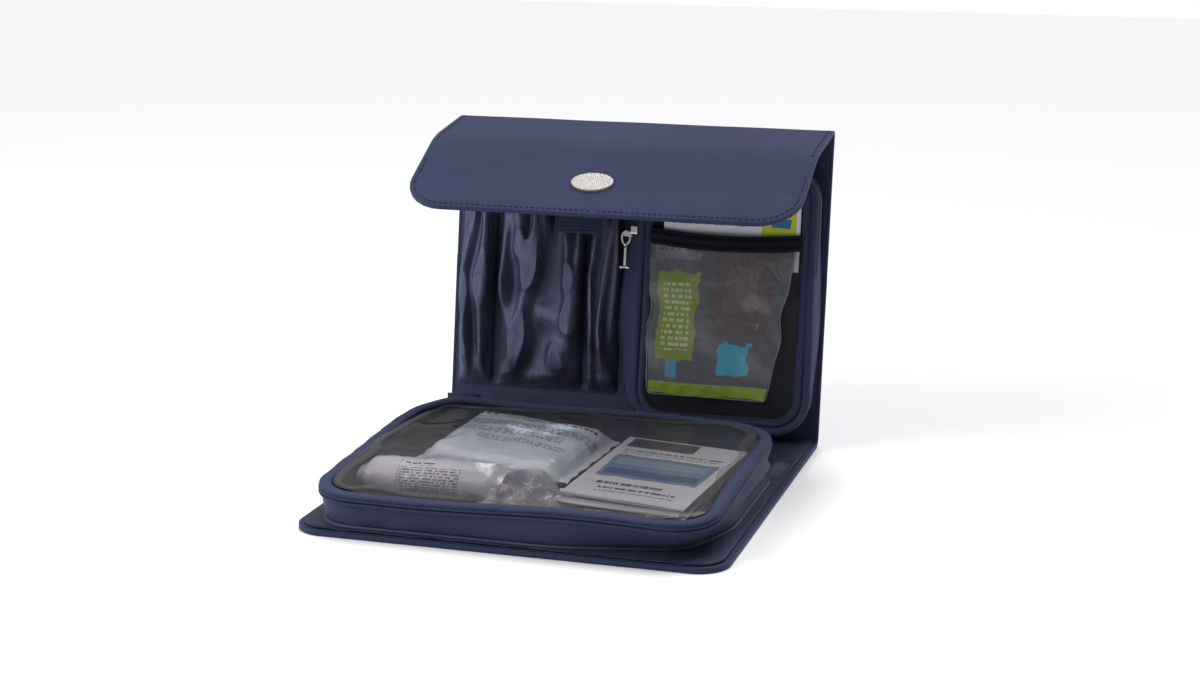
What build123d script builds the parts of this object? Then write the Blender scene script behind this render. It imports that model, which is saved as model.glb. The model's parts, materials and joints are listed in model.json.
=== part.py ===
"""First aid kit: a folding fabric case with two zipped pouches, slip pockets and dressings.

The base lies on its back with a zipped pouch on it. A spine strip and a back panel are
sewn to its rear edge, and a closing flap hangs from the top fold of the back panel.
X runs across the case, Y from the front edge to the back, Z up, all in millimetres.
"""

import os
from math import atan2, cos, hypot, radians, sin, tan

from build123d import *

os.makedirs("parts", exist_ok=True)

# ------------------------------------------------------------------ driving dimensions

case_width = 260.0
base_length = 203.0  # front edge of the base to the first fold
spine_length = 71.0  # first fold to second fold
front_wrap = 5.0  # the back panel is this much longer than the base
back_lean = 8.2  # degrees behind upright
flap_drop = 12.8  # degrees below level, strip next to the top fold
flap_dip = 28.0  # degrees below level, free end of the flap
flap_length = 57.5  # flap fold to free edge
flap_under = 2.3  # the shut flap lies this far under the base

cover_thickness = 3.2
lining_thickness = 1.2
board_thickness = 1.4
board_margin = 9.0
flap_cover_thickness = 1.8
flap_lining_thickness = 1.2
fold_gap = 2.6  # fold line to the edge of each stiffened panel
top_gap = 4.6  # the same at the top fold, where the piping's tape passes
lining_setback = 6.0  # fold line to the edge of each lining
top_setback = 8.0  # the same at the top fold
tape_length = 12.0
tape_thickness = 1.5
corner_radius = 20.0
flap_radius = 28.0
move_clearance = 0.4

# zipped pouch on the base
pouch_side_margin = 10.0
pouch_front_margin = 4.0
pouch_back_margin = 13.0
pouch_rise = 14.0  # the wall is this much higher at the back than at the front
pouch_radius = 28.0
wall_thickness = 1.4
pouch_floor = 1.0

# zipped pouch on the back panel
upright_left = 6.0  # offset of its left wall from the middle of the case
upright_side_margin = 4.0
upright_bottom = 7.0
upright_top_margin = 26.0
upright_depth = 18.2  # lining to the top of the wall
upright_radius = 24.0

frame_width = 9.0  # padded rim of each pouch lid
frame_height = 5.0
frame_round = 1.6  # top edges of the rim
window_thickness = 0.6
window_recess = 2.6  # rim underside to window
welt_size = 1.8

# zips and their pulls
zip_height = 1.4
zip_proud = 0.8
zip_setback = 0.5  # parting line to each row of teeth
base_zip_side_run = 20.0  # length along each side wall past the corner
upright_zip_side_run = 38.0
slider_length = 8.0
slider_width = 6.4
slider_thickness = 4.4
slider_corner = 2.0
slider_clearance = 0.3
base_slider_park = 36.0  # left end of the back wall to the middle of the slider
upright_slider_park = 45.0  # top of the pouch to the middle of the slider
pin_radius = 0.8
pin_clearance = 0.3
cheek_thickness = 0.8
ring_pin_reach = 3.9  # slider face to the pin
tab_pin_reach = 2.0
ring_width = 6.8
ring_length = 10.0
wire = 1.2
bar_length = 13.0
bar_root = 0.6  # how far the bar runs into its eye
bar_radius = 1.1
eye_hole_radius = 1.45
eye_radius = 2.3
bar_end_length = 4.4
bar_end_radius = 1.5
tab_pull_length = 16.0
tab_pull_width = 3.6
tab_pull_thickness = 1.2

# slip pockets and the tab above them
pocket_bottom = 22.0
pocket_top = 152.0
pocket_depth = 12.0
pocket_wall = 1.0
pocket_round = 4.0
pocket_pleat = 4.0  # gap between neighbouring pockets
pocket_widths = {"pocket_left": 25.0, "pocket_wide": 60.0, "pocket_narrow": 22.0}
pocket_edge = 5.0  # case edge to the first pocket
hem_height = 7.0
hem_proud = 1.0
kick_margin = 3.0  # plain strip under the pockets
kick_thickness = 0.8
tab_width = 30.0
tab_shift = -5.0  # from the gap beside the narrow pocket to the middle of the tab
tab_top_margin = 14.0
tab_bottom = 136.0
tab_thickness = 3.0
tab_sewn = 8.0
tab_drop = 30.0

# what the kit holds; places are measured to the middle of each thing
roll_diameter = 21.6
roll_length = 78.0
roll_round = 2.0
roll_left_gap = 12.6
roll_from_front = 68.0
roll_headroom = 2.8  # top of the roll to the window over it
pack_size = (112.0, 70.0, 19.5)
pack_round = 4.0
pack_turn = -13.0
pack_tilt = 8.0
pack_from_left = 83.0
pack_from_back = 48.0
leaflet_size = (80.0, 96.0, 5.0)
leaflet_turn = -10.0
leaflet_tilt = 6.0
leaflet_from_right = 55.0
leaflet_from_front = 98.0
leaflet_lift = 17.0
bag_size = (116.0, 60.0, 8.4)
bag_round = 8.0
bag_right_gap = 24.0
bag_front_gap = 18.0
rest_gap = 0.2
card_size = (92.0, 138.0, 1.4)
card_bottom = 24.0
card_right_gap = 2.0
sachet_size = (96.0, 104.0, 1.8)
sachet_bottom = 26.0
sachet_left_gap = 1.5
film_thickness = 0.4
mesh_thickness = 0.4
band_height = 10.0
band_top = 138.0
band_thickness = 1.2

# badge and magnets
badge_width = 28.0
badge_height = 18.4
badge_thickness = 1.8
badge_round = 0.6
badge_from_fold = 25.0
badge_x = -8.0
magnet_diameter = 14.0
magnet_thickness = 1.0

# ------------------------------------------------------------------ derived places

back_length = base_length + front_wrap
strip_length = spine_length + cover_thickness / 2 + flap_under
flap_thickness = flap_cover_thickness + flap_lining_thickness
piping_radius = cover_thickness / 2
lean = radians(back_lean)
case_depth = base_length + spine_length + back_length * sin(lean) + piping_radius
front = -case_depth / 2
first_fold = front + base_length
second_fold = first_fold + spine_length
fold_height = cover_thickness / 2
base_top = cover_thickness + lining_thickness

back_plane = Plane(
    origin=(0, second_fold, fold_height), x_dir=(1, 0, 0), z_dir=(0, -cos(lean), sin(lean))
)
back_face = cover_thickness / 2 + lining_thickness

top_y = second_fold + back_length * sin(lean)
top_z = fold_height + back_length * cos(lean)


def hanging_plane(y, z, drop):
    """Plane on a fold line: local Y runs along the flap, local Z points out of its face."""
    turn = radians(drop)
    return Plane(origin=(0, y, z), x_dir=(-1, 0, 0), z_dir=(0, -sin(turn), cos(turn)))


strip_plane = hanging_plane(top_y, top_z, flap_drop)
flap_y = top_y - strip_length * cos(radians(flap_drop))
flap_z = top_z - strip_length * sin(radians(flap_drop))
flap_plane = hanging_plane(flap_y, flap_z, flap_dip)

# the base pouch: its walls stand on the lining and its lid slopes down to the front
pouch_width = case_width - 2 * pouch_side_margin
pouch_length = base_length - pouch_front_margin - pouch_back_margin
pouch_front = front + pouch_front_margin
pouch_back = pouch_front + pouch_length
lid_slope = atan2(pouch_rise, pouch_length)
lid_length = hypot(pouch_rise, pouch_length)
roll_top = pouch_floor + rest_gap + roll_diameter
window_rise = (move_clearance + window_recess) / cos(lid_slope)
roll_rise = tan(lid_slope) * (wall_thickness + roll_from_front)
pouch_front_height = roll_top + roll_headroom - window_rise - roll_rise  # lining to wall top
pouch_back_height = pouch_front_height + pouch_rise
lid_front_z = base_top + pouch_front_height
lid_plane = Plane(
    origin=(0, pouch_front, lid_front_z),
    x_dir=(1, 0, 0),
    z_dir=(0, -sin(lid_slope), cos(lid_slope)),
)
floor_top = base_top + pouch_floor

# the upright pouch, in the back panel's own plane
upright_right = case_width / 2 - upright_side_margin
upright_width = upright_right - upright_left
upright_middle = (upright_right + upright_left) / 2
upright_top = back_length - upright_top_margin
upright_height = upright_top - upright_bottom
upright_plane = Plane(
    origin=back_plane.from_local_coords((upright_middle, upright_bottom, back_face)),
    x_dir=(1, 0, 0),
    z_dir=back_plane.z_dir,
)
upright_lid_plane = upright_plane.offset(upright_depth)


def save(piece, name):
    """Label a finished piece and write it as its own file."""
    piece.part.label = name
    export_step(piece.part, f"parts/{name}.step")


def panel_sketch(width, start, end, radius=0.0):
    """Panel outline from start to end along local Y, its corners at the end rounded."""
    with Locations((0, start)):
        Rectangle(width, end - start, align=(Align.CENTER, Align.MIN))
    if radius:
        fillet(vertices().group_by(Axis.Y)[-1], radius)


def rim_sketch(width, length, radius, inset=0.0):
    """Rounded outline that starts at the local origin and runs along local Y."""
    with Locations((0, length / 2)):
        RectangleRounded(width - 2 * inset, length - 2 * inset, radius - inset)


# ------------------------------------------------------------------ base panel

base_plane = Plane(origin=(0, first_fold, 0), x_dir=(-1, 0, 0), z_dir=(0, 0, 1))
board_floor = cover_thickness - board_thickness
magnet_from_fold = base_length + front_wrap - badge_from_fold

with BuildPart() as base_cover:
    with BuildSketch(base_plane):
        panel_sketch(case_width, fold_gap, base_length, corner_radius)
    extrude(amount=cover_thickness)
    with BuildSketch(base_plane.offset(board_floor)):
        panel_sketch(
            case_width - 2 * board_margin,
            fold_gap + board_margin,
            base_length - board_margin,
            corner_radius - board_margin,
        )
    extrude(amount=board_thickness, mode=Mode.SUBTRACT)
save(base_cover, "base_cover")

with BuildPart() as base_board:
    with BuildSketch(base_plane.offset(board_floor)):
        panel_sketch(
            case_width - 2 * board_margin,
            fold_gap + board_margin,
            base_length - board_margin,
            corner_radius - board_margin,
        )
        with Locations((-badge_x, magnet_from_fold)):
            Circle(magnet_diameter / 2, mode=Mode.SUBTRACT)
    extrude(amount=board_thickness)
save(base_board, "base_board")

with BuildPart() as base_magnet:
    with BuildSketch(base_plane.offset(board_floor)):
        with Locations((-badge_x, magnet_from_fold)):
            Circle(magnet_diameter / 2)
    extrude(amount=magnet_thickness)
save(base_magnet, "base_magnet")

with BuildPart() as base_lining:
    with BuildSketch(base_plane.offset(cover_thickness)):
        panel_sketch(case_width, lining_setback, base_length, corner_radius)
    extrude(amount=lining_thickness)
save(base_lining, "base_lining")

# ------------------------------------------------------------------ base pouch

pouch_plane = Plane(origin=(0, pouch_front, base_top), x_dir=(1, 0, 0), z_dir=(0, 0, 1))

with BuildPart() as base_gusset:
    with BuildSketch(pouch_plane):
        rim_sketch(pouch_width, pouch_length, pouch_radius)
    extrude(amount=pouch_back_height)
    with BuildSketch(pouch_plane.offset(pouch_floor)):
        rim_sketch(pouch_width, pouch_length, pouch_radius, wall_thickness)
    extrude(amount=pouch_back_height, mode=Mode.SUBTRACT)
    split(bisect_by=lid_plane, keep=Keep.BOTTOM)
save(base_gusset, "base_gusset")

with BuildPart() as base_welt:
    with BuildSketch(pouch_plane):
        rim_sketch(pouch_width, pouch_length, pouch_radius, -welt_size)
        with Locations((0, pouch_length / 2)):
            RectangleRounded(pouch_width, pouch_length, pouch_radius, mode=Mode.SUBTRACT)
    extrude(amount=welt_size)
save(base_welt, "base_welt")


def lid_frame(plane, width, length, radius):
    """Padded rim of a pouch lid, with its outer and inner top edges rounded."""
    with BuildPart() as frame:
        with BuildSketch(plane.offset(move_clearance)):
            with Locations((0, length / 2)):
                RectangleRounded(width, length, radius)
                RectangleRounded(
                    width - 2 * frame_width,
                    length - 2 * frame_width,
                    radius - frame_width,
                    mode=Mode.SUBTRACT,
                )
        extrude(amount=frame_height)
        top = frame.faces().sort_by(Axis(plane.origin, plane.z_dir))[-1]
        fillet(top.edges(), frame_round)
    return frame


def lid_panel(plane, width, length, radius, height, thickness):
    """Flat sheet that fills the rim of a pouch lid."""
    with BuildPart() as panel:
        with BuildSketch(plane.offset(move_clearance + height)):
            rim_sketch(width, length, radius, frame_width)
        extrude(amount=thickness)
    return panel


def zip_row(wall_plane, width, length, radius, parting, low, high, side_run):
    """Row of teeth on the outside of a wall, round its far end and a short way back."""
    with BuildPart() as row:
        with BuildSketch(wall_plane):
            rim_sketch(width, length, radius, -zip_proud)
            with Locations((0, length / 2)):
                RectangleRounded(width, length, radius, mode=Mode.SUBTRACT)
            with Locations((0, -2 * zip_proud)):
                Rectangle(
                    width + 4 * zip_proud,
                    length - radius - side_run + 2 * zip_proud,
                    align=(Align.CENTER, Align.MIN),
                    mode=Mode.SUBTRACT,
                )
        extrude(amount=2 * pouch_back_height)
        split(bisect_by=parting.offset(high), keep=Keep.BOTTOM)
        split(bisect_by=parting.offset(low), keep=Keep.TOP)
    return row


base_lid_frame = lid_frame(lid_plane, pouch_width, lid_length, pouch_radius)
save(base_lid_frame, "base_lid_frame")

base_window = lid_panel(
    lid_plane, pouch_width, lid_length, pouch_radius, window_recess, window_thickness
)
save(base_window, "base_window")

base_zip_lower = zip_row(
    pouch_plane,
    pouch_width,
    pouch_length,
    pouch_radius,
    lid_plane,
    -zip_setback - zip_height,
    -zip_setback,
    base_zip_side_run,
)
save(base_zip_lower, "base_zip_lower")

base_zip_upper = zip_row(
    lid_plane,
    pouch_width,
    lid_length,
    pouch_radius,
    lid_plane,
    zip_setback,
    zip_setback + zip_height,
    base_zip_side_run,
)
save(base_zip_upper, "base_zip_upper")

# ------------------------------------------------------------------ things in the base pouch

inner_left = -pouch_width / 2 + wall_thickness
inner_right = -inner_left
inner_front = pouch_front + wall_thickness
inner_back = pouch_back - wall_thickness


def lying_plane(x, y, z, turn, tilt):
    """Plane for a thing that lies turned about the vertical and tilted up at its back."""
    across, rise = radians(turn), radians(tilt)
    return Plane(
        origin=(x, y, z),
        x_dir=(cos(across), sin(across), 0),
        z_dir=(sin(across) * sin(rise), -cos(across) * sin(rise), cos(rise)),
    )


def rest_height(size, tilt):
    """Height of a tilted block's middle above what its lowest edge rests on."""
    return size[1] / 2 * sin(radians(tilt)) + size[2] / 2 * cos(radians(tilt))


with BuildPart() as bandage_roll:
    with Locations(
        (
            inner_left + roll_left_gap + roll_length / 2,
            inner_front + roll_from_front,
            floor_top + rest_gap + roll_diameter / 2,
        )
    ):
        Cylinder(roll_diameter / 2, roll_length, rotation=(0, 90, 0))
    fillet(edges().filter_by(GeomType.CIRCLE), roll_round)
save(bandage_roll, "bandage_roll")

pack_plane = lying_plane(
    inner_left + pack_from_left,
    inner_back - pack_from_back,
    floor_top + rest_gap + rest_height(pack_size, pack_tilt),
    pack_turn,
    pack_tilt,
)
with BuildPart() as dressing_pack:
    with Locations(pack_plane):
        Box(*pack_size)
    fillet(edges().filter_by(Axis(pack_plane.origin, pack_plane.z_dir)), pack_round)
save(dressing_pack, "dressing_pack")

leaflet_plane = lying_plane(
    inner_right - leaflet_from_right,
    inner_front + leaflet_from_front,
    floor_top + leaflet_lift,
    leaflet_turn,
    leaflet_tilt,
)
with BuildPart() as leaflet:
    with Locations(leaflet_plane):
        Box(*leaflet_size)
save(leaflet, "leaflet")

with BuildPart() as film_bag:
    with Locations(
        (
            inner_right - bag_right_gap - bag_size[0] / 2,
            inner_front + bag_front_gap + bag_size[1] / 2,
            floor_top + rest_gap + bag_size[2] / 2,
        )
    ):
        Box(*bag_size)
    fillet(edges().filter_by(Axis.Z), bag_round)
save(film_bag, "film_bag")

# ------------------------------------------------------------------ spine and back panel

spine_plane = Plane(origin=(0, first_fold, fold_height), x_dir=(1, 0, 0), z_dir=(0, 0, 1))


def fold_nose(plane, radius):
    """Rounded edge of a panel, centred on its fold line."""
    with Locations(plane):
        Cylinder(radius, case_width, rotation=(0, 90, 0))


with BuildPart() as spine_cover:
    with BuildSketch(spine_plane.offset(-fold_height)):
        panel_sketch(case_width, 0, spine_length - fold_gap)
    extrude(amount=cover_thickness)
    fold_nose(spine_plane, fold_height)
save(spine_cover, "spine_cover")

with BuildPart() as spine_lining:
    with BuildSketch(spine_plane.offset(fold_height)):
        panel_sketch(case_width, lining_setback, spine_length - lining_setback)
    extrude(amount=lining_thickness)
save(spine_lining, "spine_lining")

board_plane = back_plane.offset(cover_thickness / 2 - board_thickness)

with BuildPart() as back_cover:
    with BuildSketch(back_plane.offset(-cover_thickness / 2)):
        panel_sketch(case_width, 0, back_length - top_gap)
    extrude(amount=cover_thickness)
    fold_nose(back_plane, cover_thickness / 2)
    with BuildSketch(board_plane):
        panel_sketch(
            case_width - 2 * board_margin, board_margin, back_length - top_gap - board_margin
        )
    extrude(amount=board_thickness, mode=Mode.SUBTRACT)
save(back_cover, "back_cover")

with BuildPart() as back_board:
    with BuildSketch(board_plane):
        panel_sketch(
            case_width - 2 * board_margin, board_margin, back_length - top_gap - board_margin
        )
    extrude(amount=board_thickness)
save(back_board, "back_board")

with BuildPart() as back_lining:
    with BuildSketch(back_plane.offset(cover_thickness / 2)):
        panel_sketch(case_width, lining_setback, back_length - top_setback)
    extrude(amount=lining_thickness)
save(back_lining, "back_lining")

# ------------------------------------------------------------------ slip pockets

pocket_plane = back_plane.offset(back_face)
hem_spans = []


def slip_pocket(left, width):
    """Open-topped pocket sewn to the lining along both sides and its bottom."""
    with BuildPart() as pocket:
        with BuildSketch(pocket_plane):
            with Locations((left, pocket_bottom)):
                Rectangle(width, pocket_top - pocket_bottom, align=(Align.MIN, Align.MIN))
        extrude(amount=pocket_depth)
        face = pocket.faces().sort_by(Axis(pocket_plane.origin, pocket_plane.z_dir))[-1]
        fillet(face.edges().filter_by(Axis(pocket_plane.origin, pocket_plane.y_dir)), pocket_round)
        with BuildSketch(pocket_plane):
            with Locations((left + pocket_wall, pocket_bottom + pocket_wall)):
                Rectangle(
                    width - 2 * pocket_wall,
                    pocket_top - pocket_bottom,
                    align=(Align.MIN, Align.MIN),
                )
        extrude(amount=pocket_depth - pocket_wall, mode=Mode.SUBTRACT)
    return pocket


pocket_edge_x = -case_width / 2 + pocket_edge
for pocket_name, pocket_width in pocket_widths.items():
    save(slip_pocket(pocket_edge_x, pocket_width), pocket_name)
    hem_spans.append((pocket_edge_x + pocket_round, pocket_width - 2 * pocket_round))
    pocket_edge_x += pocket_width + pocket_pleat
narrow_left = pocket_edge_x - pocket_pleat - pocket_widths["pocket_narrow"]

with BuildPart() as pocket_hems:
    with BuildSketch(pocket_plane.offset(pocket_depth)):
        for hem_left, hem_width in hem_spans:
            with Locations((hem_left, pocket_top - hem_height)):
                Rectangle(hem_width, hem_height, align=(Align.MIN, Align.MIN))
    extrude(amount=hem_proud)
save(pocket_hems, "pocket_hems")

with BuildPart() as kick_strip:
    with BuildSketch(pocket_plane):
        with Locations((-case_width / 2 + kick_margin, lining_setback)):
            Rectangle(
                case_width / 2 + upright_left - 2 * kick_margin,
                pocket_bottom - lining_setback,
                align=(Align.MIN, Align.MIN),
            )
    extrude(amount=kick_thickness)
save(kick_strip, "kick_strip")

tab_centre = narrow_left - pocket_pleat / 2 + tab_shift
tab_front = back_face + pocket_depth + hem_proud + move_clearance
tab_top = back_length - tab_top_margin
side_plane = Plane(
    origin=back_plane.from_local_coords((tab_centre, 0, 0)),
    x_dir=back_plane.y_dir,
    z_dir=(1, 0, 0),
)
with BuildPart() as webbing_tab:
    with BuildSketch(side_plane):
        with BuildLine():
            Polyline(
                (tab_top, back_face),
                (tab_top, back_face + tab_thickness),
                (tab_top - tab_sewn, back_face + tab_thickness),
                (tab_top - tab_drop, tab_front + tab_thickness),
                (tab_bottom, tab_front + tab_thickness),
                (tab_bottom, tab_front),
                (tab_top - tab_drop, tab_front),
                (tab_top - tab_sewn, back_face),
                close=True,
            )
        make_face()
    extrude(amount=tab_width / 2, both=True)
save(webbing_tab, "webbing_tab")

# ------------------------------------------------------------------ upright pouch

with BuildPart() as upright_gusset:
    with BuildSketch(upright_plane):
        rim_sketch(upright_width, upright_height, upright_radius)
    extrude(amount=upright_depth)
    with BuildSketch(upright_plane.offset(pouch_floor)):
        rim_sketch(upright_width, upright_height, upright_radius, wall_thickness)
    extrude(amount=upright_depth, mode=Mode.SUBTRACT)
save(upright_gusset, "upright_gusset")

upright_lid_frame = lid_frame(upright_lid_plane, upright_width, upright_height, upright_radius)
save(upright_lid_frame, "upright_lid_frame")

upright_mesh = lid_panel(
    upright_lid_plane, upright_width, upright_height, upright_radius, 0, mesh_thickness
)
save(upright_mesh, "upright_mesh")

upright_zip_lower = zip_row(
    upright_plane,
    upright_width,
    upright_height,
    upright_radius,
    upright_lid_plane,
    -zip_setback - zip_height,
    -zip_setback,
    upright_zip_side_run,
)
save(upright_zip_lower, "upright_zip_lower")

upright_zip_upper = zip_row(
    upright_lid_plane,
    upright_width,
    upright_height,
    upright_radius,
    upright_lid_plane,
    zip_setback,
    zip_setback + zip_height,
    upright_zip_side_run,
)
save(upright_zip_upper, "upright_zip_upper")

# ------------------------------------------------------------------ film pocket and its contents

mesh_face = move_clearance + mesh_thickness
pocket_inner = upright_width - 2 * frame_width
card_plane = upright_lid_plane.offset(mesh_face)
sachet_plane = card_plane.offset(card_size[2])
film_plane = sachet_plane.offset(sachet_size[2] + rest_gap)

with BuildPart() as card_pack:
    with BuildSketch(card_plane):
        with Locations((pocket_inner / 2 - card_right_gap, card_bottom - upright_bottom)):
            Rectangle(card_size[0], card_size[1], align=(Align.MAX, Align.MIN))
    extrude(amount=card_size[2])
save(card_pack, "card_pack")

with BuildPart() as sachet:
    with BuildSketch(sachet_plane):
        with Locations((-pocket_inner / 2 + sachet_left_gap, sachet_bottom - upright_bottom)):
            Rectangle(sachet_size[0], sachet_size[1], align=(Align.MIN, Align.MIN))
    extrude(amount=sachet_size[2])
save(sachet, "sachet")

film_top = band_top - upright_bottom - band_height
with BuildPart() as film_pocket:
    with BuildSketch(film_plane):
        rim_sketch(upright_width, upright_height, upright_radius, frame_width)
        with Locations((0, film_top)):
            Rectangle(
                upright_width,
                upright_height,
                align=(Align.CENTER, Align.MIN),
                mode=Mode.SUBTRACT,
            )
    extrude(amount=film_thickness)
save(film_pocket, "film_pocket")

with BuildPart() as elastic_band:
    with BuildSketch(film_plane):
        with Locations((0, film_top)):
            Rectangle(pocket_inner, band_height, align=(Align.CENTER, Align.MIN))
    extrude(amount=band_thickness)
save(elastic_band, "elastic_band")

# ------------------------------------------------------------------ zip sliders and pulls


def slider_top(plane):
    """Plane of a slider's outer face, parallel to the wall it runs on."""
    return plane.offset(zip_proud + slider_clearance + slider_thickness)


def pin_plane(plane, reach):
    """Plane on the pull's pin: local X away from the wall, local Y along the pull."""
    top = slider_top(plane)
    pin = top.from_local_coords((0, slider_length / 2 - pin_radius, reach))
    return Plane(origin=pin, x_dir=plane.z_dir, z_dir=-plane.x_dir)


def zip_slider(plane, pull_width, reach):
    """Slider body with two cheeks and the pin that carries its pull."""
    pull = pin_plane(plane, reach)
    gap = pull_width / 2 + pin_clearance
    with BuildPart() as slider:
        with BuildSketch(plane.offset(zip_proud + slider_clearance)):
            RectangleRounded(slider_width, slider_length, slider_corner)
        extrude(amount=slider_thickness)
        for side in (pull.offset(gap), pull.offset(-gap - cheek_thickness)):
            with BuildSketch(side):
                Circle(pin_radius + cheek_thickness)
                with Locations((-reach / 2 - pin_clearance, 0)):
                    Rectangle(
                        reach + 2 * pin_clearance, 2 * (pin_radius + cheek_thickness)
                    )
            extrude(amount=cheek_thickness)
        with BuildSketch(pull.offset(-gap)):
            Circle(pin_radius)
        extrude(amount=2 * gap)
    return slider


upright_zip_plane = Plane(
    origin=upright_lid_plane.from_local_coords(
        (-upright_width / 2, upright_height - upright_slider_park, 0)
    ),
    x_dir=-upright_lid_plane.z_dir,
    z_dir=(-1, 0, 0),
)
base_zip_plane = Plane(
    origin=(-pouch_width / 2 + base_slider_park, pouch_back, base_top + pouch_back_height),
    x_dir=(0, 0, -1),
    z_dir=(0, 1, 0),
)

upright_slider = zip_slider(upright_zip_plane, wire, ring_pin_reach)
save(upright_slider, "upright_slider")

base_slider = zip_slider(base_zip_plane, tab_pull_width, tab_pin_reach)
save(base_slider, "base_slider")

ring_plane = pin_plane(upright_zip_plane, ring_pin_reach)
ring_top = pin_radius + pin_clearance + wire
with BuildPart() as pull_ring:
    with BuildSketch(ring_plane.offset(-wire / 2)):
        with Locations((0, ring_length / 2 - ring_top)):
            Ellipse(ring_width / 2, ring_length / 2)
            Ellipse(ring_width / 2 - wire, ring_length / 2 - wire, mode=Mode.SUBTRACT)
    extrude(amount=wire)
save(pull_ring, "pull_ring")

eye_y = ring_length - ring_top - wire / 2
eye_plane = Plane(
    origin=ring_plane.from_local_coords((0, eye_y, 0)),
    x_dir=ring_plane.y_dir,
    z_dir=ring_plane.x_dir,
)
bar_plane = Plane(
    origin=ring_plane.from_local_coords((0, eye_y + eye_radius, 0)),
    x_dir=ring_plane.x_dir,
    z_dir=ring_plane.y_dir,
)
bar_end_plane = Plane(
    origin=bar_plane.from_local_coords((0, 0, bar_length)),
    x_dir=bar_plane.x_dir,
    z_dir=bar_plane.y_dir,
)
with BuildPart() as pull_bar:
    with BuildSketch(bar_plane.offset(-bar_root)):
        Circle(bar_radius)
    extrude(amount=bar_length)
    with BuildSketch(eye_plane.offset(-wire / 2)):
        Circle(eye_radius)
        Circle(eye_hole_radius, mode=Mode.SUBTRACT)
    extrude(amount=wire)
    with BuildSketch(bar_end_plane):
        Rectangle(bar_end_length, bar_radius, align=(Align.CENTER, Align.MIN))
        with Locations((-bar_end_length / 2, 0), (bar_end_length / 2, 0)):
            Circle(bar_end_radius)
        split(bisect_by=Plane.XZ, keep=Keep.BOTTOM)
    revolve(axis=Axis(bar_end_plane.origin, bar_end_plane.x_dir))
save(pull_bar, "pull_bar")

tab_pin_plane = pin_plane(base_zip_plane, tab_pin_reach)
tab_eye_hole = pin_radius + pin_clearance
tab_eye_radius = tab_eye_hole + tab_pull_thickness / 2
with BuildPart() as base_pull:
    with BuildSketch(tab_pin_plane.offset(-tab_pull_width / 2)):
        Circle(tab_eye_radius)
        with Locations((tab_eye_radius - tab_pull_thickness / 2, tab_eye_hole)):
            Rectangle(tab_pull_thickness, tab_pull_length, align=(Align.CENTER, Align.MIN))
        Circle(tab_eye_hole, mode=Mode.SUBTRACT)
    extrude(amount=tab_pull_width)
save(base_pull, "base_pull")

# ------------------------------------------------------------------ top fold and flap

tape_drop = (flap_drop + 90 - back_lean) / 2  # halfway between the flap and the back panel
tape_plane = hanging_plane(top_y, top_z, tape_drop)

with BuildPart() as top_piping:
    with Locations(strip_plane):
        Cylinder(piping_radius, case_width, rotation=(0, 90, 0))
    with BuildSketch(tape_plane.offset(-tape_thickness / 2)):
        panel_sketch(case_width, 0, tape_length)
    extrude(amount=tape_thickness)
save(top_piping, "top_piping")

flap_inside = -flap_thickness / 2
flap_split = flap_inside + flap_lining_thickness

with BuildPart() as strip_cover:
    with BuildSketch(strip_plane.offset(flap_split)):
        panel_sketch(case_width, top_gap, strip_length - fold_gap)
    extrude(amount=flap_cover_thickness)
save(strip_cover, "strip_cover")

with BuildPart() as strip_lining:
    with BuildSketch(strip_plane.offset(flap_inside)):
        panel_sketch(case_width, top_gap, strip_length - fold_gap)
    extrude(amount=flap_lining_thickness)
save(strip_lining, "strip_lining")

with BuildPart() as flap_cover:
    with BuildSketch(flap_plane.offset(flap_split)):
        panel_sketch(case_width, 0, flap_length, flap_radius)
    extrude(amount=flap_cover_thickness)
    with BuildSketch(flap_plane.offset(flap_split)):
        with Locations((-badge_x, badge_from_fold)):
            Circle(magnet_diameter / 2)
    extrude(amount=magnet_thickness, mode=Mode.SUBTRACT)
save(flap_cover, "flap_cover")

with BuildPart() as flap_lining:
    with BuildSketch(flap_plane.offset(flap_inside)):
        panel_sketch(case_width, 0, flap_length, flap_radius)
    extrude(amount=flap_lining_thickness)
save(flap_lining, "flap_lining")

with BuildPart() as flap_magnet:
    with BuildSketch(flap_plane.offset(flap_split)):
        with Locations((-badge_x, badge_from_fold)):
            Circle(magnet_diameter / 2)
    extrude(amount=magnet_thickness)
save(flap_magnet, "flap_magnet")

with BuildPart() as badge:
    with BuildSketch(flap_plane.offset(flap_thickness / 2)):
        with Locations((-badge_x, badge_from_fold)):
            Ellipse(badge_width / 2, badge_height / 2)
    extrude(amount=badge_thickness)
    rim = badge.faces().sort_by(Axis(flap_plane.origin, flap_plane.z_dir))[-1]
    fillet(rim.edges(), badge_round)
save(badge, "badge")
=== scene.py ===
"""A folding fabric first aid kit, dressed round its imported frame.

Every length is in metres, in the frame's own axes: X across the case, Y from the front edge to
the back panel, Z up.
"""

import json
import logging
import math
from dataclasses import dataclass, field
from enum import Enum
from typing import Callable, Sequence

import bpy
from mathutils import Euler, Matrix, Vector, noise


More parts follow.
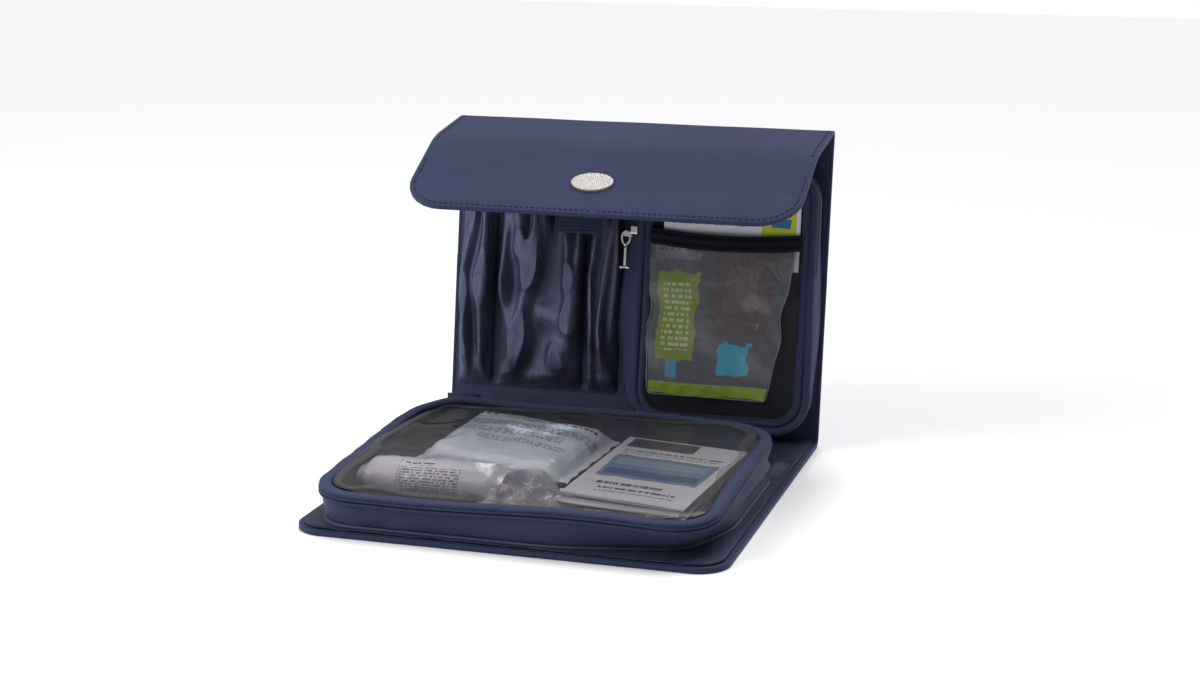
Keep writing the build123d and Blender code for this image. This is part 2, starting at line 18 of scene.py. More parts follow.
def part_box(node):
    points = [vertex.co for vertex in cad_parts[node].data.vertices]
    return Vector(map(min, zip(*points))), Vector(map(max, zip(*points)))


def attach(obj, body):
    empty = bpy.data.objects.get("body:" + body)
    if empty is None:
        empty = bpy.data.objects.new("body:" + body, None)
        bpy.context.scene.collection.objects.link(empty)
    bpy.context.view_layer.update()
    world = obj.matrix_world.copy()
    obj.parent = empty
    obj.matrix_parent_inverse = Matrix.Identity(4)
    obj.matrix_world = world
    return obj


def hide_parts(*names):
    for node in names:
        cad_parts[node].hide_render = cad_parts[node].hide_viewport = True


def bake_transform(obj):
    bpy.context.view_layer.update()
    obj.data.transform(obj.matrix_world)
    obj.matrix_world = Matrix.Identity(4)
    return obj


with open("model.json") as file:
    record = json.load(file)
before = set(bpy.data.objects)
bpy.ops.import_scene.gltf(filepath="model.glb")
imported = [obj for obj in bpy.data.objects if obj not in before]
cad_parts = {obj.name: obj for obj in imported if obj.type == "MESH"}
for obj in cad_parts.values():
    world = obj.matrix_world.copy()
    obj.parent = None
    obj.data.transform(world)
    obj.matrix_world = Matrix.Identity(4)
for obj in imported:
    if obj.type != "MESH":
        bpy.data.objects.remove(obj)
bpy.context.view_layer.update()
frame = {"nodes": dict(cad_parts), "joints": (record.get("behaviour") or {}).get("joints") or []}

log = logging.getLogger("first_aid_kit")

# Gives a piece's point for shares u and v of its grid, each from 0 to 1.
Place = Callable[[float, float], Vector]


# --------------------------------------------------------------------------- the frame's lines


def joint(name: str) -> dict:
    """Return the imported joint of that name."""
    return next(j for j in frame["joints"] if j["name"] == name)


def corner(node: str, high: bool) -> Vector:
    """Return the highest or the lowest corner of a CAD node."""
    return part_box(node)[1 if high else 0]


FIRST_FOLD = Vector(joint("spine_fold")["pos_m"])
SECOND_FOLD = Vector(joint("back_fold")["pos_m"])
TOP_FOLD = Vector(joint("flap_fold")["pos_m"])
FLAP_FOLD = Vector(joint("closure_fold")["pos_m"])
UP_BACK = Vector(joint("upright_slider_run")["axis"]).normalized()
OUT_BACK = Vector((0, -UP_BACK.z, UP_BACK.y))
CASE_WIDTH = corner("base_cover", True).x - corner("base_cover", False).x
FRONT_Y = corner("base_cover", False).y


@dataclass(frozen=True)
class Slant:
    """A flat face that pieces are laid out on: its origin, its two directions and its normal."""

    origin: Vector
    right: Vector
    up: Vector
    out: Vector

    def at(self, x: float, y: float, z: float = 0.0) -> Vector:
        """Return the point at those distances along the face and off it."""
        return self.origin + self.right * x + self.up * y + self.out * z


BACK = Slant(SECOND_FOLD, Vector((1, 0, 0)), UP_BACK, OUT_BACK)


# --------------------------------------------------------------------------- mesh helpers


def clear_selection() -> None:
    """Leave edit mode and deselect every object."""
    if bpy.context.object and bpy.context.object.mode != "OBJECT":
        bpy.ops.object.mode_set(mode="OBJECT")
    bpy.ops.object.select_all(action="DESELECT")


def activate(piece: bpy.types.Object) -> None:
    """Make one piece the only selected and the active one.

    Args:
        piece: The piece.
    """
    clear_selection()
    piece.select_set(True)
    bpy.context.view_layer.objects.active = piece


def apply_place(piece: bpy.types.Object) -> None:
    """Move a piece's place, turn and scale into its mesh."""
    activate(piece)
    bpy.ops.object.transform_apply(location=True, rotation=True, scale=True)


def modify(piece: bpy.types.Object, kind: str, **settings: object) -> None:
    """Add one modifier with its settings and apply it.

    Args:
        piece: The mesh to change.
        kind: The modifier's type, such as SOLIDIFY.
        settings: Values set on the modifier.
    """
    activate(piece)
    modifier = piece.modifiers.new(kind.title(), kind)
    for name, value in settings.items():
        setattr(modifier, name, value)
    bpy.ops.object.modifier_apply(modifier=modifier.name)


def smooth(piece: bpy.types.Object, degrees: float = 40.0) -> None:
    """Shade a piece smooth, apart from edges sharper than that angle."""
    activate(piece)
    bpy.ops.object.shade_smooth_by_angle(angle=math.radians(degrees))


def outward(piece: bpy.types.Object) -> None:
    """Merge a piece's doubles and turn its faces outwards.

    Args:
        piece: The piece.
    """
    activate(piece)
    bpy.ops.object.mode_set(mode="EDIT")
    bpy.ops.mesh.select_all(action="SELECT")
    bpy.ops.mesh.remove_doubles(threshold=1e-6)
    bpy.ops.mesh.normals_make_consistent(inside=False)
    bpy.ops.object.mode_set(mode="OBJECT")


def cloth_grid(
    name: str, columns: int, rows: int, place: Place, size: tuple[float, float]
) -> bpy.types.Object:
    """Make a sheet from a grid whose points are moved to where the cloth lies.

    Args:
        name: The piece's name.
        columns: Faces across.
        rows: Faces along.
        place: Gives the point for shares u and v from 0 to 1.
        size: The cloth's width and length, which scale its weave.

    Returns:
        The sheet, with no thickness yet.
    """
    clear_selection()
    bpy.ops.mesh.primitive_grid_add(x_subdivisions=columns, y_subdivisions=rows, size=1, calc_uvs=True)
    sheet = bpy.context.object
    sheet.name = sheet.data.name = name
    for vertex in sheet.data.vertices:
        vertex.co = place(vertex.co.x + 0.5, vertex.co.y + 0.5)
    for loop in sheet.data.uv_layers.active.data:
        loop.uv = (loop.uv[0] * size[0], loop.uv[1] * size[1])
    return sheet


def thicken(piece: bpy.types.Object, thickness: float, offset: float = 0.0, edge: float = 0.0) -> None:
    """Give a sheet its thickness, with its edges rounded if an edge radius is given.

    Args:
        piece: The piece.
        thickness: Its thickness.
        offset: Which side grows: -1, 0 or 1.
        edge: Radius of its edges.
    """
    modify(piece, "SOLIDIFY", thickness=thickness, offset=offset, use_even_offset=False)
    if edge:
        modify(piece, "BEVEL", width=edge, segments=2, limit_method="ANGLE", angle_limit=math.radians(50))
    smooth(piece)


def swell(piece: bpy.types.Object, voxel: float, pressure: float, cap: float) -> None:
    """Blow a padded piece up a little with a short cloth simulation, and apply it.

    Args:
        piece: The closed piece, made slightly too small.
        voxel: Size of the even mesh that it is simulated on.
        pressure: Pressure inside it.
        cap: The farthest that any point may move.
    """
    modify(piece, "REMESH", mode="VOXEL", voxel_size=voxel)
    start = [v.co.copy() for v in piece.data.vertices]
    activate(piece)
    cloth = piece.modifiers.new("Cloth", "CLOTH")
    cloth.settings.use_pressure = True
    cloth.settings.uniform_pressure_force = pressure
    cloth.settings.effector_weights.gravity = 0
    cloth.settings.tension_stiffness = 30
    cloth.settings.compression_stiffness = 30
    for step in range(1, 21):
        bpy.context.scene.frame_set(step)
    bpy.ops.object.modifier_apply(modifier=cloth.name)
    bpy.context.scene.frame_set(1)
    for vertex, before in zip(piece.data.vertices, start):
        moved = vertex.co - before
        if moved.length > cap:
            vertex.co = before + moved.normalized() * cap
    modify(piece, "SUBSURF", levels=1, render_levels=1)


def lay_print(piece: bpy.types.Object, face: Slant, width: float, length: float) -> None:
    """Lay the printed face flat over a piece: UV runs from 0 to 1 across and along it."""
    layer = piece.data.uv_layers.active or piece.data.uv_layers.new(name="print")
    for loop in piece.data.loops:
        flat = piece.data.vertices[loop.vertex_index].co - face.origin
        layer.data[loop.index].uv = (flat.dot(face.right) / width + 0.5, flat.dot(face.up) / length + 0.5)


def ring_tube(
    name: str, around: int, section: int, place: Place, size: tuple[float, float]
) -> bpy.types.Object:
    """Make a closed padded ring: u runs round the ring and v round its section.

    Args:
        name: The piece's name.
        around: Faces round the ring.
        section: Faces round its section.
        place: Gives the point for shares u and v from 0 to 1.
        size: Length and girth, which scale its weave.

    Returns:
        The closed ring.
    """
    ring = cloth_grid(name, around, section, place, size)
    outward(ring)
    smooth(ring, 60)
    return ring


def stamp(name: str, template: bpy.types.Object, turns: Sequence[Matrix]) -> bpy.types.Object:
    """Copy one small modelled shape to many places and join the copies.

    Args:
        name: The joined piece's name.
        template: The shape, which is removed afterwards.
        turns: One matrix for each copy.

    Returns:
        The joined piece.
    """
    vertices: list[Vector] = []
    faces: list[list[int]] = []
    for turn in turns:
        start = len(vertices)
        vertices += [turn @ v.co for v in template.data.vertices]
        faces += [[start + i for i in p.vertices] for p in template.data.polygons]
    mesh = bpy.data.meshes.new(name)
    mesh.from_pydata(vertices, [], faces)
    made = bpy.data.objects.new(name, mesh)
    bpy.context.scene.collection.objects.link(made)
    bpy.data.objects.remove(template)
    smooth(made, 60)
    return made


def rounded_track(width: float, length: float, radius: float, share: float) -> tuple[Vector, Vector]:
    """Walk round a rounded rectangle that stands on the origin and runs along its own Y.

    Args:
        width: Its size across.
        length: Its size along.
        radius: Its corner radius.
        share: How far round, from 0 to 1, starting in the middle of its near side.

    Returns:
        The flat point, and the flat direction outwards.
    """
    straight_x, straight_y, arc = width - 2 * radius, length - 2 * radius, math.pi * radius / 2
    spans = [
        (straight_x / 2, Vector((0, 0, 0)), Vector((1, 0, 0))),
        (arc, Vector((straight_x / 2, radius, 0)), -math.pi / 2),
        (straight_y, Vector((width / 2, radius, 0)), Vector((0, 1, 0))),
        (arc, Vector((straight_x / 2, length - radius, 0)), 0.0),
        (straight_x, Vector((straight_x / 2, length, 0)), Vector((-1, 0, 0))),
        (arc, Vector((-straight_x / 2, length - radius, 0)), math.pi / 2),
        (straight_y, Vector((-width / 2, length - radius, 0)), Vector((0, -1, 0))),
        (arc, Vector((-straight_x / 2, radius, 0)), math.pi),
        (straight_x / 2, Vector((-straight_x / 2, 0, 0)), Vector((1, 0, 0))),
    ]
    left = (share % 1.0) * sum(s[0] for s in spans)
    for span, start, way in spans:
        if left <= span:
            break
        left -= span
    if isinstance(way, Vector):
        return start + way * left, Vector((way.y, -way.x, 0))
    angle = way + left / radius
    outwards = Vector((math.cos(angle), math.sin(angle), 0))
    return start + outwards * radius, outwards


def way_round(width: float, length: float, radius: float) -> float:
    """Return the length of the way round a rounded rectangle."""
    return 2 * (width + length) - (8 - math.tau) * radius


def bump(x: float, centre: float, width: float) -> float:
    """Return a soft hump of height 1 round a centre."""
    return math.exp(-(((x - centre) / width) ** 2))


def ramp(x: float, low: float, high: float) -> float:
    """Rise smoothly from 0 at the low value to 1 at the high one."""
    share = min(1.0, max(0.0, (x - low) / (high - low)))
    return share * share * (3 - 2 * share)


def crumple(x: float, y: float, seed: float, scale: float) -> float:
    """Return smooth noise between about -1 and 1 at a flat point."""
    return noise.noise(Vector((x / scale, y / scale, seed)))


def creases(x: float, y: float, seed: float, scale: float) -> float:
    """Return sharp-edged folds between 0 and 1, as in thin film."""
    return 1 - abs(crumple(x, y, seed, scale)) * 2


# --------------------------------------------------------------------------- shader groups


class Group:
    """A shader node group under construction."""

    def __init__(self, name: str, inputs: dict[str, float | tuple], outputs: Sequence[str]) -> None:
        """Open the group and its sockets.

        Args:
            name: The group's name.
            inputs: Socket names with their defaults: a number, or a tuple for a colour.
            outputs: Names of the outputs; a name ending in Colour is a colour.
        """
        self.tree = bpy.data.node_groups.new(name, "ShaderNodeTree")
        face = self.tree.interface
        face.new_socket("Vector", in_out="INPUT", socket_type="NodeSocketVector")
        for label, value in inputs.items():
            kind = "NodeSocketColor" if isinstance(value, tuple) else "NodeSocketFloat"
            face.new_socket(label, in_out="INPUT", socket_type=kind).default_value = value
        for label in outputs:
            kind = "NodeSocketColor" if label.endswith("Colour") else "NodeSocketFloat"
            face.new_socket(label, in_out="OUTPUT", socket_type=kind)
        self.source = self.tree.nodes.new("NodeGroupInput").outputs
        self.sink = self.tree.nodes.new("NodeGroupOutput").inputs

    def node(self, kind: str, links: dict[str | int, object], **settings: object) -> bpy.types.Node:
        """Add a node, set it up, and link or set its inputs."""
        return add_node(self.tree, kind, links, **settings)


def add_node(
    tree: bpy.types.NodeTree, kind: str, links: dict[str | int, object], **settings: object
) -> bpy.types.Node:
    """Add one shader node.

    Args:
        tree: The tree that it goes in.
        kind: The node's type, without its ShaderNode prefix.
        links: For each input, a socket to link or a value to set.
        settings: Attributes of the node.

    Returns:
        The node.
    """
    made = tree.nodes.new("ShaderNode" + kind)
    for name, value in settings.items():
        setattr(made, name, value)
    for name, value in links.items():
        if isinstance(value, bpy.types.NodeSocket):
            tree.links.new(value, made.inputs[name])
        else:
            made.inputs[name].default_value = value
    return made


def weave_group() -> bpy.types.NodeTree:
    """Build the woven-cloth group: crossing threads, in UV metres.

    Returns:
        The group's tree.
    """
    group = Group("Weave", {"Threads per metre": 1500.0, "Slub": 0.4}, ["Height", "Mask"])
    slub = group.node("TexNoise", {"Vector": group.source["Vector"], "Scale": 260.0, "Detail": 3.0})
    scale = group.node(
        "VectorMath",
        {0: group.source["Vector"], "Scale": group.source["Threads per metre"]},
        operation="SCALE",
    )
    split = group.node("SeparateXYZ", {0: scale.outputs[0]})
    waves = []
    for axis in ("X", "Y"):
        turn = group.node("Math", {0: split.outputs[axis], 1: math.tau}, operation="MULTIPLY")
        waves.append(group.node("Math", {0: turn.outputs[0]}, operation="SINE"))
    cross = group.node("Math", {0: waves[0].outputs[0], 1: waves[1].outputs[0]}, operation="MULTIPLY")
    lumps = group.node("Math", {0: slub.outputs["Fac"], 1: group.source["Slub"]}, operation="MULTIPLY")
    height = group.node("Math", {0: cross.outputs[0], 1: lumps.outputs[0]}, operation="ADD")
    mask = group.node("MapRange", {"Value": cross.outputs[0], "From Min": -1.0, "From Max": 1.0})
    group.tree.links.new(height.outputs[0], group.sink["Height"])
    group.tree.links.new(mask.outputs[0], group.sink["Mask"])
    return group.tree


def wear_group() -> bpy.types.NodeTree:
    """Build the wear group: cloudy colour change, rubbed patches and small specks of lint.

    Returns:
        The group's tree.
    """
    group = Group(
        "Wear",
        {"Colour": (0.1, 0.1, 0.2, 1.0), "Rubbed": (0.2, 0.2, 0.3, 1.0), "Amount": 0.3, "Scale": 14.0},
        ["Worn Colour", "Patches"],
    )
    cloud = group.node(
        "TexNoise",
        {"Vector": group.source["Vector"], "Scale": group.source["Scale"], "Detail": 5.0, "Roughness": 0.6},
    )
    fine = group.node("TexNoise", {"Vector": group.source["Vector"], "Scale": 900.0, "Detail": 2.0})
    patches = group.node(
        "MapRange", {"Value": cloud.outputs["Fac"], "From Min": 0.35, "From Max": 0.75}
    )
    lint = group.node("MapRange", {"Value": fine.outputs["Fac"], "From Min": 0.7, "From Max": 0.85})
    both = group.node("Math", {0: patches.outputs[0], 1: lint.outputs[0]}, operation="ADD", use_clamp=True)
    share = group.node("Math", {0: both.outputs[0], 1: group.source["Amount"]}, operation="MULTIPLY")
    mix = group.node(
        "Mix",
        {0: share.outputs[0], 6: group.source["Colour"], 7: group.source["Rubbed"]},
        data_type="RGBA",
    )
    group.tree.links.new(mix.outputs[2], group.sink["Worn Colour"])
    group.tree.links.new(both.outputs[0], group.sink["Patches"])
    return group.tree


def wrinkle_group() -> bpy.types.NodeTree:
    """Build the wrinkle group: long soft creases with finer ones between them.

    Returns:
        The group's tree.
    """
    group = Group("Wrinkles", {"Scale": 30.0, "Stretch": 3.0}, ["Height"])
    shape = group.node("CombineXYZ", {0: 1.0, 1: group.source["Stretch"], 2: 1.0})
    pulled = group.node(
        "VectorMath", {0: group.source["Vector"], 1: shape.outputs[0]}, operation="MULTIPLY"
    )
    broad = group.node(
        "TexNoise",
        {"Vector": pulled.outputs[0], "Scale": group.source["Scale"], "Detail": 4.0, "Distortion": 0.6},
    )
    middle = group.node("Math", {0: broad.outputs["Fac"], 1: 0.5}, operation="SUBTRACT")
    ridge = group.node("Math", {0: middle.outputs[0]}, operation="ABSOLUTE")
    group.tree.links.new(ridge.outputs[0], group.sink["Height"])
    return group.tree


GROUPS = {"Weave": weave_group(), "Wear": wear_group(), "Wrinkles": wrinkle_group()}


class Blank:
    """An empty material with its Principled shader, ready for a finish."""

    def __init__(self, name: str) -> None:
        """Make the material and keep its parts at hand.

        Args:
            name: The piece's name.
        """
        self.material = bpy.data.materials.new(name)
        self.material.use_nodes = True
        self.tree = self.material.node_tree
        self.shader = self.tree.nodes["Principled BSDF"]
        self.output = self.tree.nodes["Material Output"]
        self.where = self.tree.nodes.new("ShaderNodeTexCoord")

    def node(self, kind: str, links: dict[str | int, object], **settings: object) -> bpy.types.Node:
        """Add a node to this material."""
        return add_node(self.tree, kind, links, **settings)

    def group(self, name: str, vector: bpy.types.NodeSocket, **values: object) -> bpy.types.Node:
        """Place a shared group, with its own values.

        Args:
            name: The piece's name.
            vector: Where the pattern is measured.
            values: The group's inputs, with _ for each space.

        Returns:
            The placed group.
        """
        made = self.tree.nodes.new("ShaderNodeGroup")
        made.node_tree = GROUPS[name]
        self.tree.links.new(vector, made.inputs["Vector"])
        for label, value in values.items():
            made.inputs[label.replace("_", " ")].default_value = value
        return made

    def feed(self, socket: bpy.types.NodeSocket, name: str) -> None:
        """Link a socket to one input of the shader."""
        self.tree.links.new(socket, self.shader.inputs[name])

    def relief(self, heights: Sequence[tuple[bpy.types.NodeSocket, float]]) -> None:
        """Chain bumps of the given depths, in metres, into the normal.

        Args:
            heights: Height sockets with their depths.
        """
        normal = None
        for socket, depth in heights:
            links: dict[str | int, object] = {"Height": socket, "Distance": depth, "Strength": 1.0}
            if normal is not None:
                links["Normal"] = normal
            normal = self.node("Bump", links).outputs[0]
        self.feed(normal, "Normal")


@dataclass(frozen=True)
class Cloth:
    """A woven or coated fabric."""

    name: str
    colour: tuple[float, float, float]
    rubbed: tuple[float, float, float]
    roughness: float = 0.62
    sheen: float = 0.25
    sheen_roughness: float = 0.4
    threads: float = 1500.0
    weave_depth: float = 0.00006
    wrinkle_scale: float = 26.0
    wrinkle_depth: float = 0.0006
    wear: float = 0.35
    specular: float = 0.22
    metallic: float = 0.0

    def dress(self) -> bpy.types.Material:
        """Build this fabric's material.

        Returns:
            The material.
        """
        blank = Blank(self.name)
        uv, place = blank.where.outputs["UV"], blank.where.outputs["Object"]
        weave = blank.group("Weave", uv, Threads_per_metre=self.threads)
        wear = blank.group(
            "Wear", place, Colour=(*self.colour, 1), Rubbed=(*self.rubbed, 1), Amount=self.wear
        )
        wrinkles = blank.group("Wrinkles", place, Scale=self.wrinkle_scale)
        thread = blank.node(
            "MapRange", {"Value": weave.outputs["Mask"], "To Min": 0.82, "To Max": 1.08}
        )
        shade = blank.node("HueSaturation", {"Color": wear.outputs[0], "Value": thread.outputs[0]})
        blank.feed(shade.outputs[0], "Base Color")
        rough = blank.node(
            "MapRange",
            {
                "Value": wear.outputs["Patches"],
                "To Min": self.roughness + 0.06,
                "To Max": self.roughness - 0.06,
            },
        )
        blank.feed(rough.outputs[0], "Roughness")
        blank.shader.inputs["Sheen Weight"].default_value = self.sheen
        blank.shader.inputs["Sheen Roughness"].default_value = self.sheen_roughness
        blank.shader.inputs["Sheen Tint"].default_value = (0.45, 0.5, 0.9, 1.0)
        blank.shader.inputs["Metallic"].default_value = self.metallic
        blank.shader.inputs["Specular IOR Level"].default_value = self.specular
        blank.shader.inputs["Specular Tint"].default_value = (0.55, 0.62, 1.0, 1.0)
        blank.relief(
            [(wrinkles.outputs[0], self.wrinkle_depth), (weave.outputs["Height"], self.weave_depth)]
        )
        return blank.material


@dataclass(frozen=True)
class Metal:
    """A plated or enamelled metal."""

    name: str
    colour: tuple[float, float, float]
    roughness: float
    grain: float = 0.0
    grain_scale: float = 900.0
    metallic: float = 1.0

    def dress(self) -> bpy.types.Material:
        """Build this metal's material.

        Returns:
            The material.
        """
        blank = Blank(self.name)
        place = blank.where.outputs["Object"]
        wear = blank.group(
            "Wear",
            place,
            Colour=(*self.colour, 1),
            Rubbed=(*(0.7 * c for c in self.colour), 1),
            Amount=0.35,
            Scale=220.0,
        )
        blank.feed(wear.outputs[0], "Base Color")
        rough = blank.node(
            "MapRange",
            {"Value": wear.outputs["Patches"], "To Min": self.roughness, "To Max": self.roughness + 0.12},
        )
        blank.feed(rough.outputs[0], "Roughness")
        blank.shader.inputs["Metallic"].default_value = self.metallic
        grain = blank.node(
            "TexNoise", {"Vector": place, "Scale": self.grain_scale, "Detail": 3.0, "Roughness": 0.7}
        )
        blank.relief([(grain.outputs["Fac"], self.grain)])
        return blank.material


@dataclass(frozen=True)
class Film:
    """A clear plastic film that shows what lies behind it."""

    name: str
    tint: tuple[float, float, float]
    gloss: tuple[float, float, float]
    veil: float
    roughness: float = 0.12
    ripple: float = 0.0004
    ripple_scale: float = 22.0
    graze: float = 0.2

    def dress(self) -> bpy.types.Material:
        """Build this film's material: a thin gloss over a clear sheet.

        Returns:
            The material.
        """
        blank = Blank(self.name)
        place = blank.where.outputs["Object"]
        wear = blank.group(
            "Wear", place, Colour=(*self.gloss, 1), Rubbed=(*(1.3 * c for c in self.gloss), 1), Amount=0.6
        )
        blank.feed(wear.outputs[0], "Base Color")
        blank.shader.inputs["Roughness"].default_value = self.roughness
        blank.shader.inputs["Coat Weight"].default_value = 1.0
        blank.shader.inputs["Coat Roughness"].default_value = 0.06
        ripples = blank.group("Wrinkles", place, Scale=self.ripple_scale, Stretch=1.4)
        fine = blank.group("Wrinkles", place, Scale=self.ripple_scale * 5, Stretch=0.8)
        blank.relief([(ripples.outputs[0], self.ripple), (fine.outputs[0], self.ripple * 0.2)])
        clear = blank.node("BsdfTransparent", {"Color": (*self.tint, 1)})
        rim = blank.node("LayerWeight", {"Blend": 0.35})
        thickest = min(1.0, self.veil + self.graze)
        share = blank.node(
            "MapRange", {"Value": rim.outputs["Facing"], "To Min": self.veil, "To Max": thickest}
        )
        mix = blank.node(
            "MixShader", {0: share.outputs[0], 1: clear.outputs[0], 2: blank.shader.outputs[0]}
        )
        blank.tree.links.new(mix.outputs[0], blank.output.inputs["Surface"])
        return blank.material


@dataclass(frozen=True)
class Block:
    """One printed shape on a wrapper, in shares of the printed face."""

    left: float
    low: float
    right: float
    high: float
    colour: tuple[float, float, float]
    lines: float = 0.0
    wobble: float = 0.0


@dataclass(frozen=True)
class Print:
    """A printed wrapper, card or paper: a ground with blocks and bars on it."""

    name: str
    ground: tuple[float, float, float]
    blocks: tuple[Block, ...]
    roughness: float = 0.35
    coat: float = 0.3
    crease: float = 0.0003
    crease_scale: float = 40.0

    def dress(self) -> bpy.types.Material:
        """Build this print's material in the face's own UV, from 0 to 1.

        Returns:
            The material.
        """
        blank = Blank(self.name)
        uv, place = blank.where.outputs["UV"], blank.where.outputs["Object"]
        stir = blank.node("TexNoise", {"Vector": uv, "Scale": 9.0, "Detail": 3.0})
        split = blank.node("SeparateXYZ", {0: uv})
        wear = blank.group(
            "Wear",
            place,
            Colour=(*self.ground, 1),
            Rubbed=(*(0.86 * c for c in self.ground), 1),
            Amount=0.5,
            Scale=30.0,
        )
        colour = wear.outputs[0]
        for block in self.blocks:
            mask = self.mask(blank, block, split, stir)
            mix = blank.node("Mix", {0: mask, 6: colour, 7: (*block.colour, 1)}, data_type="RGBA")
            colour = mix.outputs[2]
        blank.feed(colour, "Base Color")
        blank.shader.inputs["Roughness"].default_value = self.roughness
        blank.shader.inputs["Coat Weight"].default_value = self.coat
        blank.shader.inputs["Coat Roughness"].default_value = 0.12
        wrinkles = blank.group("Wrinkles", place, Scale=self.crease_scale, Stretch=1.6)
        blank.relief([(wrinkles.outputs[0], self.crease)])
        return blank.material

    @staticmethod
    def mask(
        blank: Blank, block: Block, split: bpy.types.Node, stir: bpy.types.Node
    ) -> bpy.types.NodeSocket:
        """Return the socket that is 1 inside a block, broken into bars of print if it has lines.

        Args:
            blank: The material under construction.
            block: The printed shape.
            split: The node that splits the face's UV.
            stir: The noise that shakes the edges.

        Returns:
            A socket between 0 and 1.
        """
        shift = blank.node(
            "Math", {0: stir.outputs["Fac"], 1: block.wobble, 2: -block.wobble / 2}, operation="MULTIPLY_ADD"
        )
        parts = []
        for axis, low, high in (("X", block.left, block.right), ("Y", block.low, block.high)):
            moved = blank.node("Math", {0: split.outputs[axis], 1: shift.outputs[0]}, operation="ADD")
            for kind, limit in (("GREATER_THAN", low), ("LESS_THAN", high)):
                parts.append(blank.node("Math", {0: moved.outputs[0], 1: limit}, operation=kind).outputs[0])
        if block.lines:
            rows = blank.node("Math", {0: split.outputs["Y"], 1: block.lines}, operation="MULTIPLY")
            row = blank.node("Math", {0: rows.outputs[0]}, operation="FRACT")
            parts.append(blank.node("Math", {0: row.outputs[0], 1: 0.55}, operation="LESS_THAN").outputs[0])
            step = blank.node("Math", {0: rows.outputs[0]}, operation="FLOOR")
            spot = blank.node("CombineXYZ", {0: split.outputs["X"], 1: step.outputs[0]})
            words = blank.node("TexNoise", {"Vector": spot.outputs[0], "Scale": 38.0, "Detail": 1.0})
            parts.append(
                blank.node("Math", {0: words.outputs["Fac"], 1: 0.47}, operation="GREATER_THAN").outputs[0]
            )
        product = parts[0]
        for part in parts[1:]:
            product = blank.node("Math", {0: product, 1: part}, operation="MULTIPLY").outputs[0]
        return product


# --------------------------------------------------------------------------- finishes

class Finish(Enum):
    """The finishes that a piece can have."""

    COVER = "cover"
    LINING = "lining"
    WALL = "wall"
    RIM = "rim"
    SATIN = "satin"
    SLATE = "slate"
    WEBBING = "webbing"
    ELASTIC = "elastic"
    MESH = "mesh"
    THREAD = "thread"
    WELT = "welt"
    TEETH = "teeth"
    NICKEL = "nickel"
    ENAMEL = "enamel"
    BADGE = "badge"
    WINDOW = "window"
    SLEEVE = "sleeve"
    BAG = "bag"
    ROLL = "roll"
    PACK = "pack"
    LEAFLET = "leaflet"
    SACHET = "sachet"
    CARD = "card"


